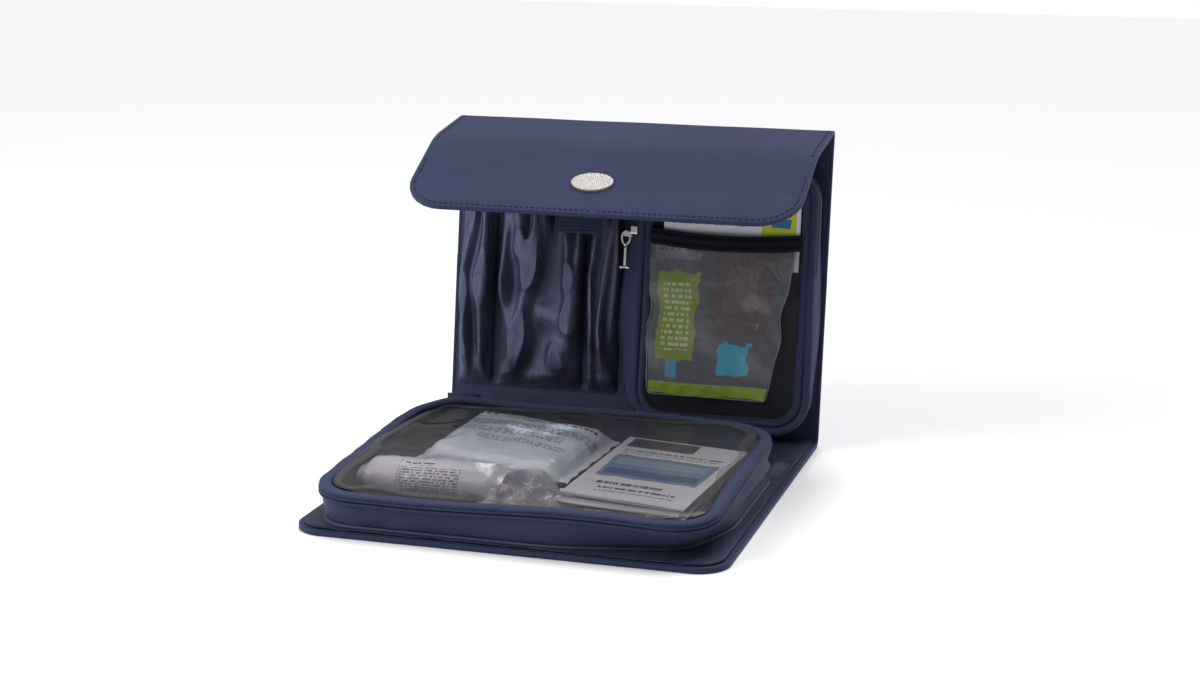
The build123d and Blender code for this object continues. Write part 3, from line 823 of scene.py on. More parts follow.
NAVY = (0.034, 0.042, 0.088)
LEAFLET_BLUE = (0.05, 0.09, 0.22)
FINISHES = {
    Finish.COVER: Cloth(
        "Coated navy cover", NAVY, (0.042, 0.050, 0.1), 0.55, 0.1, threads=1100, specular=0.1
    ),
    Finish.LINING: Cloth(
        "Dark woven lining", (0.015, 0.018, 0.038), (0.03, 0.034, 0.062), 0.3, 0.1,
        wrinkle_depth=0.0022, specular=0.5,
    ),
    Finish.WALL: Cloth(
        "Slate side wall", (0.036, 0.042, 0.085), (0.052, 0.06, 0.11), 0.5, 0.15, wrinkle_depth=0.0012
    ),
    Finish.RIM: Cloth(
        "Navy rim tape", (0.034, 0.041, 0.086), (0.05, 0.058, 0.11), 0.5, 0.15,
        threads=1800, specular=0.15,
    ),
    Finish.SATIN: Cloth(
        "Gathered satin",
        (0.082, 0.084, 0.14),
        (0.115, 0.115, 0.185),
        0.33,
        0.1,
        0.3,
        threads=2600,
        weave_depth=0.00003,
        wrinkle_scale=46.0,
        wrinkle_depth=0.0018,
        specular=0.5,
        metallic=0.6,
    ),
    Finish.SLATE: Cloth("Plain slate strip", (0.034, 0.038, 0.072), (0.046, 0.05, 0.09), 0.45, 0.2),
    Finish.WEBBING: Cloth(
        "Ribbed webbing", (0.026, 0.031, 0.066), (0.04, 0.046, 0.09), 0.7, 0.2, threads=900
    ),
    Finish.ELASTIC: Cloth(
        "Black elastic", (0.006, 0.006, 0.008), (0.02, 0.02, 0.024), 0.75, 0.3, threads=1200
    ),
    Finish.MESH: Cloth(
        "Black mesh", (0.006, 0.006, 0.008), (0.012, 0.012, 0.014), 0.6, 0.05,
        threads=700, weave_depth=0.00001, wear=0.2,
    ),
    Finish.THREAD: Cloth("Sewing thread", (0.014, 0.017, 0.036), (0.03, 0.035, 0.06), 0.6, 0.2, threads=3000),
    Finish.WELT: Cloth("Light welt", (0.07, 0.076, 0.12), (0.12, 0.125, 0.17), 0.6, 0.3),
    Finish.TEETH: Metal("Moulded zip teeth", (0.02, 0.024, 0.05), 0.35, 0.00002, 600, 0.0),
    Finish.NICKEL: Metal("Bright nickel", (0.75, 0.73, 0.7), 0.14, 0.00001),
    Finish.ENAMEL: Metal("Navy enamel", (0.03, 0.036, 0.075), 0.3, 0.00001, 900, 0.3),
    Finish.BADGE: Metal("Grained nickel", (0.46, 0.435, 0.42), 0.38, 0.0006, 900),
    Finish.WINDOW: Film("Clear window", (0.97, 0.96, 0.95), (0.12, 0.115, 0.125), 0.09, 0.1, 0.0022, 14),
    Finish.SLEEVE: Film("Clear sleeve", (0.96, 0.96, 0.97), (0.05, 0.05, 0.055), 0.09, 0.09, 0.004, 30),
    Finish.BAG: Film("Crumpled clear film", (0.88, 0.87, 0.88), (0.55, 0.54, 0.6), 0.4, 0.16, 0.002, 45),
    Finish.ROLL: Print(
        "White wrap",
        (0.68, 0.67, 0.77),
        (
            Block(0.3, 0.60, 0.72, 0.92, (0.16, 0.16, 0.2), 42.0),
            Block(0.285, 0.52, 0.29, 0.95, (0.2, 0.2, 0.25)),
            Block(0.32, 0.545, 0.52, 0.58, (0.02, 0.02, 0.04), 26.0),
        ),
        0.25,
        0.6,
        0.0008,
        60,
    ),
    Finish.PACK: Print(
        "Pale blue wrap",
        (0.62, 0.68, 0.8),
        (
            Block(0.1, 0.8, 0.24, 0.9, (0.06, 0.065, 0.09), 12.0),
            Block(0.3, 0.79, 0.62, 0.87, (0.1, 0.11, 0.15), 30.0),
            Block(0.68, 0.8, 0.92, 0.88, (0.08, 0.09, 0.12), 16.0),
            Block(0.08, 0.6, 0.94, 0.73, (0.1, 0.11, 0.16), 40.0),
            Block(0.16, 0.44, 0.8, 0.54, (0.16, 0.18, 0.26), 36.0),
            Block(0.3, 0.3, 0.86, 0.38, (0.2, 0.22, 0.3), 36.0),
        ),
        0.3,
        0.5,
        0.0012,
        45,
    ),
    Finish.LEAFLET: Print(
        "Printed leaflet",
        (0.6, 0.6, 0.66),
        (
            Block(0.06, 0.84, 0.62, 0.985, (0.04, 0.045, 0.075)),
            Block(0.08, 0.74, 0.9, 0.8, (0.12, 0.13, 0.2), 22.0),
            Block(0.08, 0.34, 0.92, 0.7, (0.13, 0.2, 0.34), 0.0, 0.06),
            Block(0.12, 0.55, 0.88, 0.66, (0.22, 0.29, 0.42)),
            Block(0.12, 0.38, 0.88, 0.48, LEAFLET_BLUE),
            Block(0.16, 0.2, 0.7, 0.27, (0.03, 0.04, 0.09), 14.0),
            Block(0.22, 0.1, 0.86, 0.17, (0.03, 0.04, 0.09), 14.0),
        ),
        0.3,
        0.4,
        0.0004,
    ),
    Finish.SACHET: Print(
        "Printed sachet",
        (0.11, 0.115, 0.135),
        (
            Block(0.03, 0.86, 0.36, 0.985, (0.2, 0.205, 0.23)),
            Block(0.05, 0.9, 0.5, 0.94, (0.11, 0.115, 0.13), 12.0),
            Block(0.06, 0.22, 0.36, 0.78, (0.26, 0.35, 0.03), 0.0, 0.1),
            Block(0.1, 0.28, 0.31, 0.72, (0.62, 0.68, 0.4), 26.0, 0.03),
            Block(0.0, 0.0, 1.0, 0.075, (0.3, 0.44, 0.015)),
            Block(0.14, 0.1, 0.24, 0.22, (0.08, 0.36, 0.5), 0.0, 0.08),
            Block(0.46, 0.4, 0.9, 0.96, (0.12, 0.088, 0.086), 0.0, 0.12),
            Block(0.56, 0.56, 0.8, 0.84, (0.16, 0.118, 0.112), 0.0, 0.2),
            Block(0.56, 0.14, 0.8, 0.34, (0.04, 0.42, 0.56), 0.0, 0.12),
        ),
        0.2,
        1.0,
        0.003,
        48,
    ),
    Finish.CARD: Print(
        "Printed card",
        (0.8, 0.82, 0.9),
        (
            Block(0.72, 0.0, 0.97, 1.0, (0.5, 0.6, 0.01)),
            Block(0.79, 0.56, 0.93, 0.68, (0.01, 0.14, 0.3), 0.0, 0.03),
            Block(0.06, 0.56, 0.62, 0.74, (0.03, 0.06, 0.2), 5.5),
            Block(0.06, 0.8, 0.66, 0.9, (0.05, 0.08, 0.22), 10.0),
        ),
    ),
}
MATERIALS = {name: finish.dress() for name, finish in FINISHES.items()}


def paint(piece: bpy.types.Object, finish: Finish) -> None:
    """Give a piece one finish all over."""
    piece.data.materials.clear()
    piece.data.materials.append(MATERIALS[finish])


def fit(
    piece: bpy.types.Object,
    finish: Finish,
    body: str,
    stands_for: Sequence[str] = (),
) -> bpy.types.Object:
    """Dress a finished piece, put it on its body and hide the CAD nodes that it replaces.

    Args:
        piece: The piece.
        finish: Its finish.
        body: The body that it rides on.
        stands_for: The CAD nodes that it replaces.

    Returns:
        The same piece.
    """
    paint(piece, finish)
    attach(piece, body)
    if stands_for:
        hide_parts(*stands_for)
    log.info("%s: %d faces on %s", piece.name, len(piece.data.polygons), body)
    return piece


def thread_bead() -> bpy.types.Object:
    """Make the small round bead that a stitch is drawn out from.

    Returns:
        The bead.
    """
    clear_selection()
    bpy.ops.mesh.primitive_uv_sphere_add(segments=6, ring_count=4, radius=1)
    return bpy.context.object


@dataclass(frozen=True)
class ZipRow:
    """One row of zip teeth, along part of the way round a pouch."""

    name: str
    body: str
    node: str
    start: float
    share: float
    tooth_depth: float
    tooth_length: float = 0.0008
    tooth_height: float = 0.0011
    pitch: float = 0.0014

    def build(self, total: float, face: Matrix, spot: Callable[[float], tuple[Vector, Vector]]) -> None:
        """Make the row from one small tooth.

        Args:
            total: Length of the whole way round the pouch.
            face: The turn of the pouch's own plane.
            spot: Gives the point and the flat outward direction for a share of the way round.
        """
        clear_selection()
        bpy.ops.mesh.primitive_cube_add(size=1)
        tooth = bpy.context.object
        tooth.scale = (self.tooth_length, self.tooth_depth, self.tooth_height)
        apply_place(tooth)
        modify(tooth, "BEVEL", width=0.0002, segments=1)
        count = int(total * self.share / self.pitch)
        turns = []
        for k in range(count):
            here, outwards = spot(self.start + self.share * k / count)
            angle = math.atan2(outwards.y, outwards.x) - math.pi / 2
            turns.append(Matrix.Translation(here) @ face @ Matrix.Rotation(angle, 4, "Z"))
        fit(stamp(self.name, tooth, turns), Finish.TEETH, self.body, (self.node,))


# --------------------------------------------------------------------------- the folding case


@dataclass
class FoldLine:
    """The case's middle line, from the base's front edge over the folds to the flap's edge."""

    bend: float = 0.0045
    crease: float = 0.0572
    crease_bend: float = 0.010
    root_dip: float = 7.9
    tip_dip: float = 28.0
    flap_reach: float = 0.1325
    points: list[Vector] = field(default_factory=list)
    marks: list[float] = field(default_factory=list)
    bends: list[float] = field(default_factory=list)

    def __post_init__(self) -> None:
        """Lay the line through the folds of the frame and the flap's soft crease."""
        root, tip = math.radians(self.root_dip), math.radians(self.tip_dip)
        base_z = SECOND_FOLD.z
        crease = TOP_FOLD + Vector((0, -math.cos(root), -math.sin(root))) * self.crease
        end = crease + Vector((0, -math.cos(tip), -math.sin(tip))) * (self.flap_reach - self.crease)
        self.points = [Vector((0, FRONT_Y, base_z)), FIRST_FOLD, SECOND_FOLD, TOP_FOLD, crease, end]
        self.bends = [0, self.bend, self.bend, self.bend, self.crease_bend, 0]
        self.marks = [0.0]
        for a, b in zip(self.points, self.points[1:]):
            self.marks.append(self.marks[-1] + (b - a).length)

    def at(self, s: float) -> tuple[Vector, Vector]:
        """Return the point at a distance along the line and the normal towards the inside.

        Args:
            s: Distance along the case's middle line.

        Returns:
            What is found there.
        """
        for mark, bend, i in zip(self.marks[1:-1], self.bends[1:-1], range(1, 5)):
            if abs(s - mark) < bend:
                before = (self.points[i] - self.points[i - 1]).normalized()
                after = (self.points[i + 1] - self.points[i]).normalized()
                t = (s - mark + bend) / (2 * bend)
                start, end = self.points[i] - before * bend, self.points[i] + after * bend
                spot = start * (1 - t) ** 2 + self.points[i] * 2 * t * (1 - t) + end * t * t
                way = (before * (1 - t) + after * t).normalized()
                return spot, Vector((0, -way.z, way.y))
        i = max(k for k in range(5) if s >= self.marks[k] or k == 0)
        way = (self.points[i + 1] - self.points[i]).normalized()
        return self.points[i] + way * (s - self.marks[i]), Vector((0, -way.z, way.y))


LINE = FoldLine()


@dataclass
class Panel:
    """One stretch of cover or lining that lies along the fold line."""

    name: str
    start: float
    end: float
    bodies: tuple[str, ...]
    finish: Finish
    slot: str
    stands_for: tuple[str, ...]
    off: float
    thickness: float
    inset: float = 0.0
    round_start: float = 0.0
    round_end: float = 0.0
    bend_at: float = 0.0
    edge: float = 0.0008
    ruck: float = 0.0
    columns: int = 90

    def rows(self) -> int:
        """Return how many rows keep the faces near 3 mm long."""
        return max(12, round((self.end - self.start) / 0.003))

    def along(self, v: float) -> float:
        """Return the distance along the line, with rows closer together round the corners.

        Args:
            v: Share along or round the section, from 0 to 1.

        Returns:
            The distance.
        """
        length, near, far = self.end - self.start, self.round_start, self.round_end
        if far and v > 0.8:
            turn = (v - 0.8) / 0.2 * math.pi / 2
            return self.end - far + far * math.sin(turn)
        if near and v < 0.2:
            turn = (0.2 - v) / 0.2 * math.pi / 2
            return self.start + near - near * math.sin(turn)
        low, high = (0.2 if near else 0.0), (0.8 if far else 1.0)
        return self.start + near + (v - low) / (high - low) * (length - near - far)

    def half_width(self, s: float) -> float:
        """Return half the panel's width at a distance along the line.

        Args:
            s: Distance along the case's middle line.

        Returns:
            Half the width.
        """
        half = CASE_WIDTH / 2 - self.inset
        ends = (
            (self.round_start, self.start + self.round_start - s),
            (self.round_end, s - self.end + self.round_end),
        )
        for radius, gone in ends:
            if radius and gone > 0:
                return half - radius + math.sqrt(max(0.0, radius**2 - min(gone, radius) ** 2))
        return half

    def lift(self, x: float, s: float) -> float:
        """Return how far the cloth stands off its place, from rucks and slack.

        Args:
            x: Distance across.
            s: Distance along the case's middle line.

        Returns:
            The rise.
        """
        rise = 0.0003 * crumple(x, s, 3.0, 0.05)
        if self.ruck:
            near = bump(s, LINE.marks[1], 0.012) + bump(s, LINE.marks[2], 0.012) + 0.35
            rise += self.ruck * near * (0.5 + crumple(x * 2.0, s * 0.7, 7.0, 0.02))
            rise += self.ruck * 0.5 * creases(x, s, 11.0, 0.018) * near
        return rise

    def build(self) -> bpy.types.Object:
        """Make the panel, dress it and hang it on its body; a panel that spans two bodies is left unparented,
        fixed where it lies.

        Returns:
            The finished piece.
        """

        def place(u: float, v: float) -> Vector:
            """Place one point of this piece."""
            s = self.along(v)
            spot, normal = LINE.at(s)
            x = (2 * u - 1) * self.half_width(s)
            return Vector((x, 0, 0)) + spot + normal * (self.off + self.lift(x, s))

        width, length = CASE_WIDTH - 2 * self.inset, self.end - self.start
        piece = cloth_grid(self.name, self.columns, self.rows(), place, (width, length))
        thicken(piece, self.thickness, 0.0, self.edge)
        paint(piece, self.finish)
        if len(self.bodies) == 2:
            spot = LINE.at(self.bend_at - LINE.bend)[0], LINE.at(self.bend_at + LINE.bend)[0]
            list(self.bodies)
            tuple(spot[0])
            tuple(spot[1])
            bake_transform(piece)
        else:
            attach(piece, self.bodies[0])
        if self.stands_for:
            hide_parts(*self.stands_for)
        log.info("%s: %d faces", self.name, len(piece.data.polygons))
        return piece


@dataclass
class Case:
    """The folding case: its covers, linings, stitching and badge."""

    base_radius: float = 0.020
    flap_radius: float = 0.028
    top_cover_length: float = 0.100
    stitch_gap: float = 0.0036
    stitch_in: float = 0.0032

    def panels(self) -> list[Panel]:
        """List the cover's and the lining's stretches, each across one fold at most.

        Returns:
            The nine stretches.
        """
        first, second, top, crease, end = LINE.marks[1:]
        mid_spine, mid_back = (first + second) / 2, top - self.top_cover_length
        flap_line = top + (FLAP_FOLD - TOP_FOLD).length
        mid_strip, lap = top + 0.030, 0.004
        return [
            Panel("base_cover_sheet", 0, mid_spine, ("base", "spine"), Finish.COVER, "cover_fabric",
                  ("base_cover", "base_board", "base_magnet"), 0.0, 0.003,
                  round_start=self.base_radius, bend_at=first),
            Panel("back_cover_sheet", mid_spine - lap, mid_back + lap, ("spine", "back"), Finish.COVER,
                  "cover_fabric", ("spine_cover", "back_cover", "back_board"), 0.0, 0.0029,
                  bend_at=second, edge=0.0),
            Panel("top_cover_sheet", mid_back, top, ("back", "top_fold"), Finish.COVER, "cover_fabric",
                  ("top_piping",), 0.0, 0.003, bend_at=top - LINE.bend),
            Panel("strip_cover_sheet", top - lap, mid_strip + lap, ("top_fold", "strip"), Finish.COVER,
                  "cover_fabric", ("strip_cover",), 0.0, 0.0029, bend_at=top + LINE.bend, edge=0.0),
            Panel("flap_cover_sheet", mid_strip, end, ("strip", "flap"), Finish.COVER, "cover_fabric",
                  ("flap_cover", "flap_magnet"), 0.0, 0.003,
                  round_end=self.flap_radius, bend_at=flap_line, edge=0.0012),
            Panel("base_lining_sheet", 0.003, mid_spine, ("base", "spine"), Finish.LINING, "lining_fabric",
                  ("base_lining", "spine_lining"), 0.0022, 0.0008, 0.0032,
                  round_start=self.base_radius - 0.003, bend_at=first, edge=0.0, ruck=0.0020),
            Panel("back_lining_sheet", mid_spine, top - 0.004, ("spine", "back"), Finish.LINING,
                  "lining_fabric", ("back_lining",), 0.0022, 0.0008, 0.0032, bend_at=second,
                  edge=0.0, ruck=0.0007),
            Panel("flap_lining_sheet", mid_strip, end - 0.0022, ("strip", "flap"), Finish.LINING,
                  "lining_fabric", ("flap_lining",), 0.0019, 0.0008, 0.0022,
                  round_end=self.flap_radius - 0.0022, bend_at=flap_line, edge=0.0),
            Panel("strip_lining_sheet", top + 0.006, mid_strip, ("strip",), Finish.LINING, "lining_fabric",
                  ("strip_lining",), 0.0019, 0.0008, 0.0022, edge=0.0),
        ]

    def stitches(self, name: str, body: str, spots: Sequence[tuple[float, float]], off: float) -> None:
        """Sew a row of short thread stitches on the cover.

        Args:
            name: The row's name.
            body: The body that the row rides on.
            spots: Distances across and along the case, one for each stitch.
            off: Distance from the cover's middle line.
        """
        stitch = thread_bead()
        turns = []
        for (x, s), (x2, s2) in zip(spots, [*spots[1:], spots[-1]]):
            spot, normal = LINE.at(s)
            ahead = LINE.at(s2)[0] + Vector((x2, 0, 0)) - spot - Vector((x, 0, 0))
            if ahead.length < 1e-6:
                ahead = Vector((1, 0, 0))
            way = ahead.normalized()
            side = normal.cross(way).normalized()
            frame_turn = Matrix((way, side, normal)).transposed().to_4x4()
            size = Matrix.Diagonal((0.0013, 0.00048, 0.0003, 1))
            here = Vector((x, 0, 0)) + spot + normal * off
            turns.append(Matrix.Translation(here) @ frame_turn @ size)
        fit(stamp(name, stitch, turns), Finish.THREAD, body)

    def edge_row(self, panel: Panel, start: float, end: float) -> list[tuple[float, float]]:
        """List stitches up one side of a panel, round its end and down the other side.

        Args:
            panel: The panel that is sewn.
            start: Where the row starts along the case.
            end: Where it ends.

        Returns:
            Places across and along, one for each stitch.
        """
        inset = self.stitch_in
        radius = max(0.0, panel.round_end - inset)
        half = CASE_WIDTH / 2 - inset
        straight = max(0, int((end - inset - radius - start) / self.stitch_gap))
        side = [(half, start + k * self.stitch_gap) for k in range(straight)]
        arc = int(radius * math.pi / 2 / self.stitch_gap)
        bend = [
            (half - radius + radius * math.cos(a), end - inset - radius + radius * math.sin(a))
            for a in (k / arc * math.pi / 2 for k in range(arc))
        ]
        across = int((half - radius) / self.stitch_gap)
        tip = [((half - radius) * (1 - k / across), end - inset) for k in range(across)]
        right = side + bend + tip
        return right + [(-x, s) for x, s in reversed(right)]

    def build(self) -> None:
        """Make the whole case."""
        panels = {p.name: p for p in self.panels()}
        for panel in panels.values():
            panel.build()
        top, end = LINE.marks[3], LINE.marks[5]
        flap_line = top + (FLAP_FOLD - TOP_FOLD).length
        flap = panels["flap_cover_sheet"]
        surface = -0.0019
        self.stitches("flap_stitches", "flap", self.edge_row(flap, flap_line + 0.009, end), surface)
        for side, mark in ((-1, "left"), (1, "right")):
            x = side * (CASE_WIDTH / 2 - self.stitch_in)
            strip = [(x, top + 0.006 + k * self.stitch_gap) for k in range(16)]
            self.stitches(f"strip_stitches_{mark}", "strip", strip, surface)
            inner = side * (CASE_WIDTH / 2 - 0.0016)
            count = int((LINE.marks[3] - LINE.marks[2] - 0.014) / self.stitch_gap)
            edge = [(inner, LINE.marks[2] + 0.007 + k * self.stitch_gap) for k in range(count)]
            self.stitches(f"back_stitches_{mark}", "back", edge, 0.0016)
        paint(frame["nodes"]["badge"], Finish.BADGE)


# --------------------------------------------------------------------------- the base pouch


@dataclass
class BasePouch:
    """The zipped pouch on the base: its wall, rim, window, zip and welt."""

    radius: float = 0.028
    rim_width: float = 0.0078
    rim_height: float = 0.0048
    back_drop: float = 0.0028
    around: int = 220
    low: Vector = field(default_factory=lambda: corner("base_gusset", False))
    high: Vector = field(default_factory=lambda: corner("base_gusset", True))
    lid: Vector = field(default_factory=lambda: Vector(joint("base_lid_lift")["pos_m"]))

    def __post_init__(self) -> None:
        """Work out the pouch's outline and the slope of its lid."""
        self.width = self.high.x - self.low.x
        self.length = self.high.y - self.low.y
        self.slope = (self.high.z - self.lid.z) / self.length
        self.floor = self.low.z

    def lid_height(self, y: float) -> float:
        """Return the height of the wall's top at a distance from the pouch's front."""
        return self.lid.z + self.slope * y - self.back_drop * ramp(y, 0.04, self.length)

    def foot_gap(self, x: float, y: float) -> float:
        """Return how far the wall's foot stands in from its top there.

        Args:
            x: Distance across.
            y: Distance along.

        Returns:
            The distance.
        """
        front = ramp(self.length * 0.35 - y, 0, 0.05)
        right = ramp(x, 0.02, 0.11)
        return 0.001 + 0.017 * right * ramp(0.075 - y, 0, 0.07) + 0.002 * front

    def tuck(self, spot: Vector) -> Vector:
        """Draw a flat point in where the soft back left corner is pulled rounder.

        Args:
            spot: A point or place.

        Returns:
            The moved point.
        """
        gap = math.hypot(spot.x + self.width / 2, spot.y - self.length)
        pull = 0.0075 * math.exp(-((gap / 0.045) ** 2))
        return spot + Vector((pull, -pull, 0))

    def track(self, u: float) -> tuple[Vector, Vector]:
        """Return the soft outline's flat point and outward direction at a share of its way round."""
        flat, outwards = rounded_track(self.width, self.length, self.radius, u)
        return self.tuck(flat), outwards

    def outline(self, u: float, inset: float, rise: float) -> Vector:
        """Return a point of the rounded outline, inset, at a height above the wall's top.

        Args:
            u: Share across or round, from 0 to 1.
            inset: Distance in from the outline.
            rise: Height above the wall's top.

        Returns:
            The point.
        """
        flat, outwards = self.track(u)
        spot = flat - outwards * inset
        return Vector((spot.x, self.low.y + spot.y, self.lid_height(spot.y) + rise))

    def sag(self, u: float) -> float:
        """Return how far the rim dips or rises along its way round.

        Args:
            u: Share across or round, from 0 to 1.

        Returns:
            The rise.
        """
        flat = self.track(u)[0]
        puff = 0.0024 * bump(flat.x, -0.094, 0.026) * ramp(flat.y, self.length * 0.85, self.length)
        return puff + 0.0012 * math.sin(u * math.tau * 2 + 0.7) + 0.0007 * math.sin(u * math.tau * 5)

    def wall(self) -> None:
        """Make the side wall, leaning out towards its top, with soft folds at its foot."""

        def place(u: float, v: float) -> Vector:
            """Place one point of this piece."""
            flat, outwards = self.track(u)
            top = self.lid_height(flat.y) + self.sag(u)
            z = self.floor + 0.0006 + (top - self.floor) * v
            lean = self.foot_gap(flat.x, flat.y) * (1 - v) ** 1.3
            swell = 0.0013 * math.sin(v * math.pi) * (0.6 + 0.8 * crumple(u * 40, 0, 2, 4))
            ruck = 0.0011 * bump(v, 0.12, 0.16) * creases(flat.x * 1.0, flat.y, 5, 0.03)
            ruck += 0.0011 * ramp(flat.x, 0.08, 0.115) * ramp(flat.y, 0.05, 0.11) * math.cos(v * math.pi * 5)
            spot = flat - outwards * (lean - swell - ruck + 0.0012)
            return Vector((spot.x, self.low.y + spot.y, z))

        size = (2 * (self.width + self.length), self.high.z - self.floor)
        wall = cloth_grid("base_wall", self.around, 14, place, size)
        outward(wall)
        thicken(wall, 0.0012, -1.0)
        fit(wall, Finish.WALL, "base", ("base_gusset",))
        round_trip = way_round(self.width, self.length, self.radius)

    def welt(self) -> None:
        """Make the light welt sewn in where the wall meets the lining."""

        def place(u: float, v: float) -> Vector:
            """Place one point of this piece."""
            flat, outwards = self.track(u)
            turn = v * math.tau
            out = -self.foot_gap(flat.x, flat.y) + 0.0008 + 0.0009 * math.cos(turn)
            spot = flat + outwards * out
            return Vector((spot.x, self.low.y + spot.y, self.floor + 0.0007 + 0.0009 * math.sin(turn)))

        welt = ring_tube("base_welt_tape", self.around, 8, place, (0.8, 0.006))
        fit(welt, Finish.WELT, "base", ("base_welt",))

    def rim(self) -> None:
        """Make the padded rim: a rounded band with a seam groove under it."""

        def place(u: float, v: float) -> Vector:
            """Place one point of this piece."""
            turn = v * math.tau
            wave, rise = math.cos(turn), math.sin(turn)
            squared = abs(wave) ** 0.75 * math.copysign(1, wave), abs(rise) ** 0.8 * math.copysign(1, rise)
            inset = self.rim_width / 2 - 0.0012 - squared[0] * self.rim_width / 2
            height = 0.0012 + self.rim_height / 2 * (0.55 + squared[1] * (0.62 if rise > 0 else 0.5))
            puff = 0.0004 * crumple(u * 90, turn, 6, 1.5)
            return self.outline(u, inset - puff, height + self.sag(u) + puff)

        rim = ring_tube("base_rim", self.around, 20, place, (0.8, 0.03))
        fit(rim, Finish.RIM, "base_lid", ("base_lid_frame",))

    def piping(self) -> None:
        """Make the thin corded seam between the rim and the wall."""
        for name, drop, body in (
            ("rim_seam_cord", 0.0010, "base_lid"),
            ("wall_seam_cord", -0.0014, "base"),
        ):

            def place(u: float, v: float, lift: float = drop) -> Vector:
                """Place one point of this piece."""
                turn = v * math.tau
                out = 0.0004 + 0.0011 * math.cos(turn)
                return self.outline(u, -out, lift + self.sag(u) + 0.0009 * math.sin(turn))

            cord = ring_tube(name, self.around, 8, place, (0.8, 0.006))
            fit(cord, Finish.RIM, body)

    def window(self) -> None:
        """Make the clear window, slack and rippled near its left and front edges."""

        def place(u: float, v: float) -> Vector:
            """Place one point of this piece."""
            x, y = (2 * u - 1), (2 * v - 1)
            inset = self.rim_width - 0.003
            width, length = self.width / 2 - inset, self.length / 2 - inset
            bow = 1 - 0.055 * (abs(x) ** 6) * (abs(y) ** 6) * 2
            px, py = x * width * bow, y * length * bow + self.length / 2
            edge = (1 - x**8) * (1 - y**8)
            slack = 0.0016 * crumple(px, py, 4, 0.045) * (1.0 + 0.8 * ramp(-px, 0, 0.1))
            slack += 0.0006 * creases(px, py * 1.6, 9, 0.022)
            near = min(width - abs(px), length - abs(y * length))
            ripple = math.sin(190 * (px + 0.6 * py) + 3 * crumple(px, py, 1, 0.03))
            slack += 0.0013 * bump(near, 0.011, 0.005) * ripple
            sag = -0.0007 * (1 - x * x) * (1 - y * y)
            flat = self.tuck(Vector((px, py, 0)))
            px, py = flat.x, flat.y
            return Vector((px, self.low.y + py, self.lid_height(py) + 0.0026 + edge * (slack + sag)))

        size = (self.width, self.length)
        window = cloth_grid("base_window_film", 110, 90, place, size)
        thicken(window, 0.0004)
        fit(window, Finish.WINDOW, "base_lid", ("base_window",))

    def film_edge(self) -> None:
        """Make the wavy edge of the film, turned up a little inside the rim."""

        def place(u: float, v: float) -> Vector:
            """Place one point of this piece."""
            turn = v * math.tau
            wander = 0.0016 * math.sin(u * math.tau * 9 + 1) + 0.0012 * math.sin(u * math.tau * 17)
            inset = self.rim_width + 0.0030 + wander - 0.0026 * math.cos(turn)
            return self.outline(u, inset, 0.0034 + 0.3 * abs(wander) + 0.0006 * math.sin(turn))

        edge = ring_tube("base_film_edge", 2 * self.around, 6, place, (0.8, 0.003))
        fit(edge, Finish.WINDOW, "base_lid")

    def teeth(self) -> None:
        """Make both rows of zip teeth round the back of the pouch."""
        total = way_round(self.width, self.length, self.radius)
        for name, rise, body, node in (
            ("base_teeth_lower", -0.0012, "base", "base_zip_lower"),
            ("base_teeth_upper", 0.0004, "base_lid", "base_zip_upper"),
        ):

            def spot(u: float, rise: float = rise) -> tuple[Vector, Vector]:
                """Return a tooth's place and its outward direction."""
                return self.outline(u, -0.0006, rise + self.sag(u)), self.track(u)[1]

            ZipRow(name, body, node, 0.27, 0.46, 0.0016).build(total, Matrix.Identity(4), spot)

    def build(self) -> None:
        """Make the pouch."""
        self.wall()
        self.welt()
        self.rim()
        self.piping()
        self.window()
        self.film_edge()
        self.teeth()
        for node in ("base_slider", "base_pull"):
            paint(frame["nodes"][node], Finish.ENAMEL)


# --------------------------------------------------------------------------- what the base pouch holds


def lying_face(node: str, turned: float, tilted: float) -> Slant:
    """Return the plane through the middle of a pack that lies turned and tilted.

    Args:
        node: The CAD node of the pack.
        turned: Its turn on the floor, in degrees.
        tilted: Its tilt towards the front, in degrees.

    Returns:
        The plane.
    """
    low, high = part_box(node)
    turn, tilt = math.radians(turned), math.radians(tilted)
    right = Vector((math.cos(turn), math.sin(turn), 0))
    out = Vector((math.sin(turn) * math.sin(tilt), -math.cos(turn) * math.sin(tilt), math.cos(tilt)))
    return Slant((low + high) / 2, right, out.cross(right), out)


